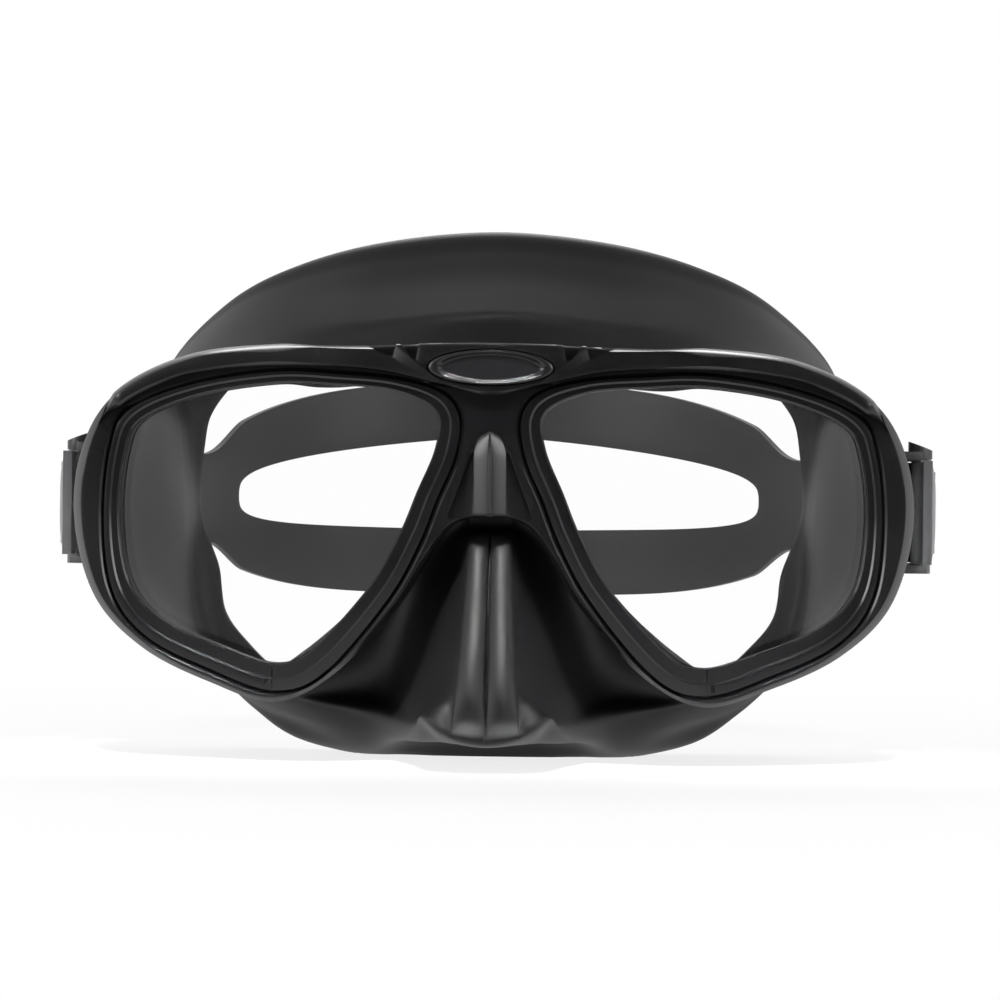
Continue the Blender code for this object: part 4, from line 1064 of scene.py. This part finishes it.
def nose_columns():
    """Control columns of the nose pocket: two flanks, then across one round ridge to the middle groove."""
    foot = np.column_stack([NOSE_RIDGE_WIDTH, NOSE_LINE])
    columns = [foot + flank for flank in NOSE_FLANKS]
    for part in NOSE_RIDGE_PARTS:
        line = foot * [part, 1.0, 1.0]
        line[:, 1] -= NOSE_RIDGE_RISE * NOSE_RIDGE_SHARE * math.sqrt(1 - (2 * part - 1) ** 2)
        columns.append(line)
    widest = columns[0][-4, 0]
    for line in columns:
        line[:, 2] += NOSE_RIM_RISE * (line[:, 0] / NOSE_RIM_HALF_WIDTH) ** 2
        line[0] = on_plane([(line[0, 0], NOSE_LINE[0, 1])], SKIRT_SEAT)[0]
        line[-3:] = seal_rows((NOSE_CREST_SHARE * line[-4, 0] / widest, -1.0))
    return columns


def skirt_wall():
    """The skirt's outer surface as a grid: columns round the frame, rows back to the sealing lip."""
    control = skirt_columns()
    padded = np.concatenate([control[1:2] * [-1, 1, 1], control, control[-2:-1] * [-1, 1, 1]])
    grid = []
    for station in range(len(control) - 1):
        steps = outline.steps if station < ARCH_STATION - 1 else NOSE_COLUMN_STEPS
        grid.append(spline_segment(*padded[station:station + 4].reshape(4, -1), steps))
    grid = np.vstack([*grid, control[-1].reshape(1, -1)]).reshape(-1, *control.shape[1:])
    fine = np.stack([open_spline(column, SKIRT_ROW_STEPS) for column in grid])
    fine[[0, -1], :, 0] = 0.0
    fine[:, :, 2] = np.maximum(fine[:, :, 2], SKIRT_BOTTOM_Z + STANDING_LAND)
    return fine


def skirt_piece():
    """Gasket lip, web round the glass, outer wall and sealing lip as one moulded shell."""
    wall = skirt_wall()
    count = len(outline.opening)
    columns, rows = wall.shape[:2]
    bridge_z = np.linspace(wall[-1, 0, 2], wall[0, 0, 2], count - columns + 2)[1:-1]
    bridge = on_plane(np.column_stack([np.zeros(len(bridge_z)), bridge_z]), SKIRT_SEAT)
    gasket = outline.offset(GASKET_OFFSET)
    web = np.vstack([on_plane(gasket, -GAP), on_plane(gasket, SKIRT_SEAT), wall[:, 0], bridge])
    points = np.vstack([web, wall[:, 1:].reshape(-1, 3)])
    faces = loft_faces(3, count, close_columns=True)
    base = len(web)

    def index(column, row):
        return 2 * count + column if row == 0 else base + column * (rows - 1) + row - 1

    for c in range(columns - 1):
        for r in range(rows - 1):
            faces.append((index(c, r), index(c + 1, r), index(c + 1, r + 1), index(c, r + 1)))
    shell = piece("skirt_shell", points, faces, skirt_silicone, "mask", recalculate=False)
    full = shell.vertex_groups.new(name="full_wall")
    full.add(range(len(shell.data.vertices)), 1.0, "REPLACE")
    full.add(range(2 * count), GASKET_SHARE, "REPLACE")
    full.add([i for i, point in enumerate(points) if point[1] < NOSE_RIM_Y], NOSE_RIM_SHARE, "REPLACE")
    add_mirror(shell)
    add_thickness(shell, SKIRT_WALL, -1.0, "full_wall")
    settle(shell)
    shell.vertex_groups.clear()
    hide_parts("skirt")


# Strap and buckles

def strap_path():
    """Left half of the strap's middle line, tail first: x, y, middle and half of its height, split edges."""
    tail = [(OUTER_RUN_X, y) for y in np.linspace(ROLLER_Y + TAIL_LENGTH, ROLLER_Y, TAIL_POINTS)]
    turn = arc((ROLLER_X, ROLLER_Y), TURN_RADIUS, 0, -180, TURN_POINTS)[1:]
    run = []
    for share in np.linspace(0, 1, RUN_POINTS)[1:]:
        run.append((INNER_RUN_X + LOOP_BULGE * smooth(share), ROLLER_Y + (LOOP_START_Y - ROLLER_Y) * share))
    split_end = math.acos(SPLIT_HALF_LENGTH / LOOP_HALF_WIDTH)
    split_sweep = math.pi / 2 - split_end
    before = np.linspace(0, split_end, LOOP_SIDE_POINTS)[1:]
    after = split_end + split_sweep * np.linspace(0, 1, LOOP_SPLIT_POINTS)[1:] ** SPLIT_CROWDING
    sweep = np.concatenate([before, after])
    loop = [(LOOP_HALF_WIDTH * math.cos(t), LOOP_START_Y + LOOP_DEPTH * math.sin(t)) for t in sweep]
    flat = np.array([*tail, *turn, *run, *loop])
    flat[-1, 0] = 0.0
    around = np.concatenate([np.zeros(len(flat) - len(sweep)), sweep]) / (math.pi / 2)
    opened = np.clip((around * math.pi / 2 - split_end) / split_sweep, 0, 1)
    middle = SWIVEL_Z + (STRAP_BACK_Z - SWIVEL_Z) * smooth(around)
    along_pad = np.clip((around - PAD_START) / (1 - PAD_START), 0, 1)
    widened = (1 - (1 - along_pad) ** 3) * smooth(along_pad / PAD_SOFT_START)
    half = STRAP_END_HALF + (STRAP_BACK_HALF - STRAP_END_HALF) * widened
    from_tip = TAIL_CORNER - np.clip(ROLLER_Y + TAIL_LENGTH - flat[:TAIL_POINTS, 1], 0, TAIL_CORNER)
    half[:TAIL_POINTS] -= TAIL_CORNER - np.sqrt(TAIL_CORNER**2 - from_tip**2)
    half_split = SPLIT_HALF * opened ** SPLIT_END_BLUNTNESS
    split_middle = middle + SPLIT_RISE * opened
    return np.column_stack([flat, middle, half, split_middle - half_split, split_middle + half_split])


def strap_piece():
    """Silicone strap: round-cornered tails, turns over the rollers and a split loop behind the head."""
    path = strap_path()
    count = len(path)
    heights = []
    for share in np.linspace(1, 0, STRAP_BAND_ROWS):
        heights.append(path[:, 4] + (path[:, 2] - path[:, 3] - path[:, 4]) * share)
    for share in np.linspace(0, 1, STRAP_BAND_ROWS):
        heights.append(path[:, 5] + (path[:, 2] + path[:, 3] - path[:, 5]) * share)
    points = np.vstack([np.column_stack([path[:, 0], path[:, 1], z]) for z in heights])
    faces = loft_faces(STRAP_BAND_ROWS, count)
    faces += loft_faces(STRAP_BAND_ROWS, count, base=STRAP_BAND_ROWS * count)
    band = piece("strap_band", points, faces, strap_silicone, "strap_loop", recalculate=False)
    add_mirror(band)
    settle(band)
    for vertex in band.data.vertices:
        behind = (vertex.co.y - ROW_ZERO[1]) / MM - LOOP_START_Y
        vertex.co.x += LOOP_SHIFT_X * MM * float(smooth(behind / LOOP_DEPTH))
    add_thickness(band, STRAP_THICKNESS, 0.0)
    settle(band)
    add_bevel(band, STRAP_BEVEL, 3, 50)
    settle(band)
    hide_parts("strap")


def cad_copy(node, name, material, body, width, reshape=None):
    """A solid's own mesh, merged and with its edges rounded, in place of the solid."""
    solid = frame["nodes"][node]
    mesh = solid.data.copy()
    work = bmesh.new()
    work.from_mesh(mesh)
    work.transform(solid.matrix_world)
    bmesh.ops.remove_doubles(work, verts=work.verts, dist=1e-6)
    bmesh.ops.dissolve_limit(work, angle_limit=math.radians(1.0), verts=work.verts, edges=work.edges)
    if reshape:
        reshape(work)
    work.to_mesh(mesh)
    work.free()
    copy = shaded_piece(name, mesh, material, body)
    add_bevel(copy, width, 3, 40)
    settle(copy)
    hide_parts(node)
    return copy


def leaf_lever(work):
    """Thin the lever's outer face towards its upper and lower ends, so that it is a curved leaf."""
    heights = [v.co.z for v in work.verts]
    middle, half = (max(heights) + min(heights)) / 2, (max(heights) - min(heights)) / 2
    for share in np.linspace(-0.95, 0.95, LEVER_CUTS):
        geometry = [*work.verts, *work.edges, *work.faces]
        height = (0.0, 0.0, middle + half * share)
        bmesh.ops.bisect_plane(work, geom=geometry, plane_co=height, plane_no=(0.0, 0.0, 1.0))
    outer = (LEVER_INNER_X + LEVER_THICKNESS / 2) * MM
    for vertex in work.verts:
        share = (vertex.co.z - middle) / half
        if abs(vertex.co.x) > outer:
            vertex.co.x -= math.copysign(LEVER_END_THIN * MM * share ** 4, vertex.co.x)
        if abs(share) > 0.99:
            vertex.co.z += math.copysign(LEVER_END_REACH * MM, share)


def sloped_knuckle(work):
    """Lower the knuckle's outer side, so that its top slopes down to the lever."""
    top = max(v.co.z for v in work.verts) - KNUCKLE_HEIGHT * MM / 2
    raised = [v for v in work.verts if v.co.z > top]
    inner, outer = (pick(abs(v.co.x) for v in raised) for pick in (min, max))
    for vertex in raised:
        vertex.co.z -= KNUCKLE_SLOPE * MM * (abs(vertex.co.x) - inner) / (outer - inner)


def round_bar(name, place, low, high, radius, material, body, bore=None):
    """A round bar or tube along Z with broken edges."""
    edge = min(0.25, radius * 0.3)
    profile = [(radius - edge, low), (radius, low + edge), (radius, high - edge), (radius - edge, high)]
    if bore is not None:
        profile = [(bore, low), *profile, (bore, high)]
    return turned_piece(name, profile, place, "z", material, body, hollow=bore is not None)


def swivel_pieces(prefix, side):
    """One side's swivel stud through the frame's lug, and the cap on its end."""
    head = LUG_INNER_X - GAP
    head_radius = STUD_RADIUS + STUD_HEAD_REACH
    stud_end = BASE_OUTER_X + GAP
    stud = [
        (head_radius - STUD_HEAD_CHAMFER, head - STUD_HEAD),
        (head_radius, head - STUD_HEAD + STUD_HEAD_CHAMFER),
        (head_radius, head),
        (STUD_RADIUS, head),
        (STUD_RADIUS, stud_end),
        (CAP_SPIGOT + GAP, stud_end),
        (CAP_SPIGOT + GAP, LUG_OUTER_X),
    ]
    cap = [(CAP_SPIGOT, LUG_OUTER_X + GAP), (CAP_SPIGOT, stud_end + GAP)]
    cap += [(STUD_RADIUS + past, stud_end + GAP + height) for past, height in CAP_EDGE]
    turned = {}
    for part, profile in (("stud", stud), ("cap", cap)):
        profile = [(radius, side * x) for radius, x in profile]
        turned[f"swivel_{part}"] = turned_piece(
            f"{prefix}_{part}", profile, (SWIVEL_Y, SWIVEL_Z), "x", pin_steel, "mask")
    return turned


def buckle_pieces(prefix, side):
    """One side's stud, cap, buckle body, roller, axle, pin and lever."""
    axle = (side * ROLLER_X, ROLLER_Y)
    pin = (side * LEVER_PIN_X, LEVER_PIN_Y)
    top = SWIVEL_Z + CHEEK_OUTER_Z
    bottom = SWIVEL_Z - CHEEK_OUTER_Z
    pin_top = top + KNUCKLE_HEIGHT - KNUCKLE_SLOPE
    roller_low, roller_high = SWIVEL_Z - STRAP_END_HALF, SWIVEL_Z + STRAP_END_HALF
    turned = {
        **swivel_pieces(prefix, side),
        "roller_axle": round_bar(f"{prefix}_axle", axle, bottom, top, AXLE_RADIUS, pin_steel, "strap_loop"),
        "lever_pin": round_bar(
            f"{prefix}_pin", pin, bottom, pin_top, LEVER_PIN_RADIUS, pin_steel, "strap_loop"),
        "strap_roller": round_bar(
            f"{prefix}_roller", axle, roller_low, roller_high, ROLLER_RADIUS, pin_steel, f"{prefix}_roller",
            AXLE_RADIUS + GAP),
    }
    for part, obj in turned.items():
        obj.data.set_sharp_from_angle(angle=math.radians(ROUND_SHARP_ANGLE))
        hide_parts(f"{prefix}_{part}")
    cad_copy(
        f"{prefix}_buckle_body", f"{prefix}_buckle", buckle_grey, "strap_loop", BUCKLE_BEVEL, sloped_knuckle)
    cad_copy(
        f"{prefix}_release_lever", f"{prefix}_lever", lever_grey, f"{prefix}_lever", LEVER_BEVEL, leaf_lever)


# Ribs, laid out by Geometry Nodes

def rib_tree(material):
    """A row of round bars along Y, set by its inputs: start, count, step, radius and length."""
    tree = bpy.data.node_groups.new("rib_row", "GeometryNodeTree")
    tree.interface.new_socket("Geometry", in_out="OUTPUT", socket_type="NodeSocketGeometry")
    inputs = {}
    for name, kind in (("Start", "NodeSocketVector"), ("Count", "NodeSocketInt"), ("Step", "NodeSocketFloat"),
                       ("Radius", "NodeSocketFloat"), ("Length", "NodeSocketFloat")):
        inputs[name] = tree.interface.new_socket(name, in_out="INPUT", socket_type=kind).identifier
    entry = tree.nodes.new("NodeGroupInput")
    leave = tree.nodes.new("NodeGroupOutput")
    line = tree.nodes.new("GeometryNodeMeshLine")
    step = tree.nodes.new("ShaderNodeCombineXYZ")
    bar = tree.nodes.new("GeometryNodeMeshCylinder")
    bar.inputs["Vertices"].default_value = 20
    spread = tree.nodes.new("GeometryNodeInstanceOnPoints")
    real = tree.nodes.new("GeometryNodeRealizeInstances")
    paint = tree.nodes.new("GeometryNodeSetMaterial")
    paint.inputs["Material"].default_value = material
    tree.links.new(entry.outputs["Start"], line.inputs["Start Location"])
    tree.links.new(entry.outputs["Count"], line.inputs["Count"])
    tree.links.new(entry.outputs["Step"], step.inputs["Y"])
    tree.links.new(step.outputs["Vector"], line.inputs["Offset"])
    tree.links.new(entry.outputs["Radius"], bar.inputs["Radius"])
    tree.links.new(entry.outputs["Length"], bar.inputs["Depth"])
    tree.links.new(line.outputs["Mesh"], spread.inputs["Points"])
    tree.links.new(bar.outputs["Mesh"], spread.inputs["Instance"])
    tree.links.new(spread.outputs["Instances"], real.inputs["Geometry"])
    tree.links.new(real.outputs["Geometry"], paint.inputs["Geometry"])
    tree.links.new(paint.outputs["Geometry"], leave.inputs["Geometry"])
    return tree, inputs


def rib_row(name, material, body, start, count, step, radius, length):
    """A row of ribs as one plain mesh on its body."""
    tree, inputs = rib_tree(material)
    obj = in_scene(name, bpy.data.meshes.new(name))
    rows = obj.modifiers.new("rows", "NODES")
    rows.node_group = tree
    rows[inputs["Start"]] = to_row([start])[0].tolist()
    rows[inputs["Count"]] = count
    rows[inputs["Step"]] = step * MM
    rows[inputs["Radius"]] = radius * MM
    rows[inputs["Length"]] = length * MM
    settle(obj)
    obj.data.shade_smooth()
    obj.data.set_sharp_from_angle(angle=math.radians(ROUND_SHARP_ANGLE))
    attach(obj, body)
    return obj


frame_piece()
lens_ring_pieces()
lens_pieces()
brow_trim_piece()
badge_piece()
skirt_piece()
strap_piece()
for prefix, side in (("left", 1), ("right", -1)):
    buckle_pieces(prefix, side)
    tail_face = OUTER_RUN_X + STRAP_THICKNESS / 2 - TAIL_RIB_SINK
    rib_row(f"{prefix}_tail_ribs", strap_silicone, "strap_loop",
            (side * tail_face, ROLLER_Y + TAIL_RIB_START, SWIVEL_Z), TAIL_RIB_COUNT, TAIL_RIB_STEP,
            TAIL_RIB_RADIUS, 2 * (STRAP_END_HALF - TAIL_RIB_MARGIN))
    grip_face = LEVER_INNER_X + LEVER_THICKNESS - GRIP_RIB_RADIUS - GRIP_RIB_SINK
    rib_row(f"{prefix}_grip_ribs", lever_grey, f"{prefix}_lever",
            (side * grip_face, LEVER_FRONT_Y + GRIP_RIB_START, SWIVEL_Z), GRIP_RIB_COUNT, GRIP_RIB_STEP,
            GRIP_RIB_RADIUS, 2 * (STRAP_END_HALF - GRIP_RIB_MARGIN))


# Light, floor and camera

def light_path(tree, *kinds):
    """1 for rays of any of these kinds, otherwise 0."""
    path = tree.nodes.new("ShaderNodeLightPath")
    seen = path.outputs[kinds[0]]
    for kind in kinds[1:]:
        either = tree.nodes.new("ShaderNodeMath")
        either.operation = "MAXIMUM"
        tree.links.new(seen, either.inputs[0])
        tree.links.new(path.outputs[kind], either.inputs[1])
        seen = either.outputs["Value"]
    return seen


def stepped(tree, source, start, end, low, high):
    """A value that goes softly from low to high between two values of its source."""
    step = tree.nodes.new("ShaderNodeMapRange")
    step.interpolation_type = "SMOOTHSTEP"
    step.inputs["From Min"].default_value = start
    step.inputs["From Max"].default_value = end
    step.inputs["To Min"].default_value = low
    step.inputs["To Max"].default_value = high
    tree.links.new(source, step.inputs["Value"])
    return step.outputs["Result"]


def studio():
    """A white tent that is dim round the camera; the camera and the glass see plain white."""
    scene = bpy.context.scene
    scene.view_settings.view_transform = "Standard"
    world = bpy.data.worlds.new("white_tent")
    scene.world = world
    world.use_nodes = True
    tree = world.node_tree
    background = tree.nodes["Background"]
    background.inputs["Color"].default_value = (1.0, 1.0, 1.0, 1.0)
    place = tree.nodes.new("ShaderNodeTexCoord")
    split = tree.nodes.new("ShaderNodeSeparateXYZ")
    tree.links.new(place.outputs["Generated"], split.inputs["Vector"])
    tent = stepped(tree, split.outputs["Y"], TENT_DARK_Y, TENT_LIGHT_Y, TENT_DARK, 1.0)
    ceiling = stepped(tree, split.outputs["Z"], TENT_CEILING_START, TENT_CEILING_END, 1.0, TENT_CEILING)
    shade = tree.nodes.new("ShaderNodeMath")
    shade.operation = "MULTIPLY"
    tree.links.new(tent, shade.inputs[0])
    tree.links.new(ceiling, shade.inputs[1])
    level = tree.nodes.new("ShaderNodeMix")
    tree.links.new(light_path(tree, "Is Camera Ray", "Is Transmission Ray"), level.inputs["Factor"])
    tree.links.new(shade.outputs["Value"], level.inputs["A"])
    level.inputs["B"].default_value = 1.0
    tree.links.new(level.outputs["Result"], background.inputs["Strength"])


def lamp(name, place, aim, size, power, spread):
    """A rectangular area light at a modelling point, aimed at another."""
    data = bpy.data.lights.new(name, "AREA")
    data.shape = "RECTANGLE"
    data.size, data.size_y = size[0] * MM, size[1] * MM
    data.energy = power
    data.spread = math.radians(spread)
    light = in_scene(name, data)
    place, aim = to_row([place, aim])
    light.location = place
    light.rotation_euler = Vector(aim - place).to_track_quat("-Z", "Y").to_euler()


def floor():
    """A pale floor that shows plain white away from the mask and keeps a soft shadow under it.

    Reflections see it white behind the mask and dim towards the camera, like the tent.
    """
    material, tree, shader = finish("pale_floor", (0.9, 0.9, 0.9), 0.6)
    grained(tree, shader, noise_on_object(tree, 300.0, 2.0), 0.05, 0.0001)
    place = tree.nodes.new("ShaderNodeTexCoord")
    split = tree.nodes.new("ShaderNodeSeparateXYZ")
    away = tree.nodes.new("ShaderNodeVectorMath")
    away.operation = "LENGTH"
    tree.links.new(place.outputs["Object"], split.inputs["Vector"])
    tree.links.new(place.outputs["Object"], away.inputs[0])
    white = tree.nodes.new("ShaderNodeMix")
    tree.links.new(light_path(tree, "Is Camera Ray", "Is Transmission Ray"), white.inputs["Factor"])
    dimmed = stepped(tree, split.outputs["Y"], FLOOR_DIM_Y, FLOOR_WHITE_Y, FLOOR_DIM, 1.0)
    tree.links.new(dimmed, white.inputs["A"])
    white.inputs["B"].default_value = 1.0
    shown = tree.nodes.new("ShaderNodeMath")
    shown.operation = "MULTIPLY"
    tree.links.new(light_path(tree, "Is Camera Ray", "Is Transmission Ray", "Is Glossy Ray"), shown.inputs[0])
    faded = stepped(tree, away.outputs["Value"], FLOOR_NEAR, FLOOR_FAR, FLOOR_FADE, 1.0)
    tree.links.new(faded, shown.inputs[1])
    glow = tree.nodes.new("ShaderNodeEmission")
    tree.links.new(white.outputs["Result"], glow.inputs["Strength"])
    mix = tree.nodes.new("ShaderNodeMixShader")
    tree.links.new(shown.outputs["Value"], mix.inputs["Fac"])
    tree.links.new(shader.outputs["BSDF"], mix.inputs[1])
    tree.links.new(glow.outputs["Emission"], mix.inputs[2])
    tree.links.new(mix.outputs["Shader"], tree.nodes["Material Output"].inputs["Surface"])
    mesh = bpy.data.meshes.new("floor")
    half = FLOOR_HALF * MM
    corners = [(-half, -half, 0.0), (half, -half, 0.0), (half, half, 0.0), (-half, half, 0.0)]
    mesh.from_pydata(corners, [], [(0, 1, 2, 3)])
    mesh.materials.append(material)
    plane = in_scene("floor", mesh)


def photo_camera():
    """The photograph's view: straight on, turned a little to the right and rolled a little."""
    data = bpy.data.cameras.new("photo_camera")
    data.sensor_width = SENSOR_MM
    data.lens = SENSOR_MM * CAMERA_DISTANCE * PIXELS_PER_MM / PHOTO_PIXELS
    camera = in_scene("photo_camera", data)
    yaw = math.radians(CAMERA_YAW)
    aim = np.array([(PHOTO_PIXELS / 2 - MIDDLE_PIXEL_X) / PIXELS_PER_MM, 0.0, 0.0])
    place = to_row([aim + CAMERA_DISTANCE * np.array([math.sin(yaw), -math.cos(yaw), 0.0])])[0]
    camera.matrix_world = (
        Matrix.Translation(place) @ Matrix.Rotation(yaw, 4, "Z") @ Matrix.Rotation(math.radians(90), 4, "X")
        @ Matrix.Rotation(math.radians(CAMERA_ROLL), 4, "Z"))
    bpy.context.scene.camera = camera


studio()
floor()
photo_camera()
for softbox in SOFTBOXES:
    lamp(*softbox)
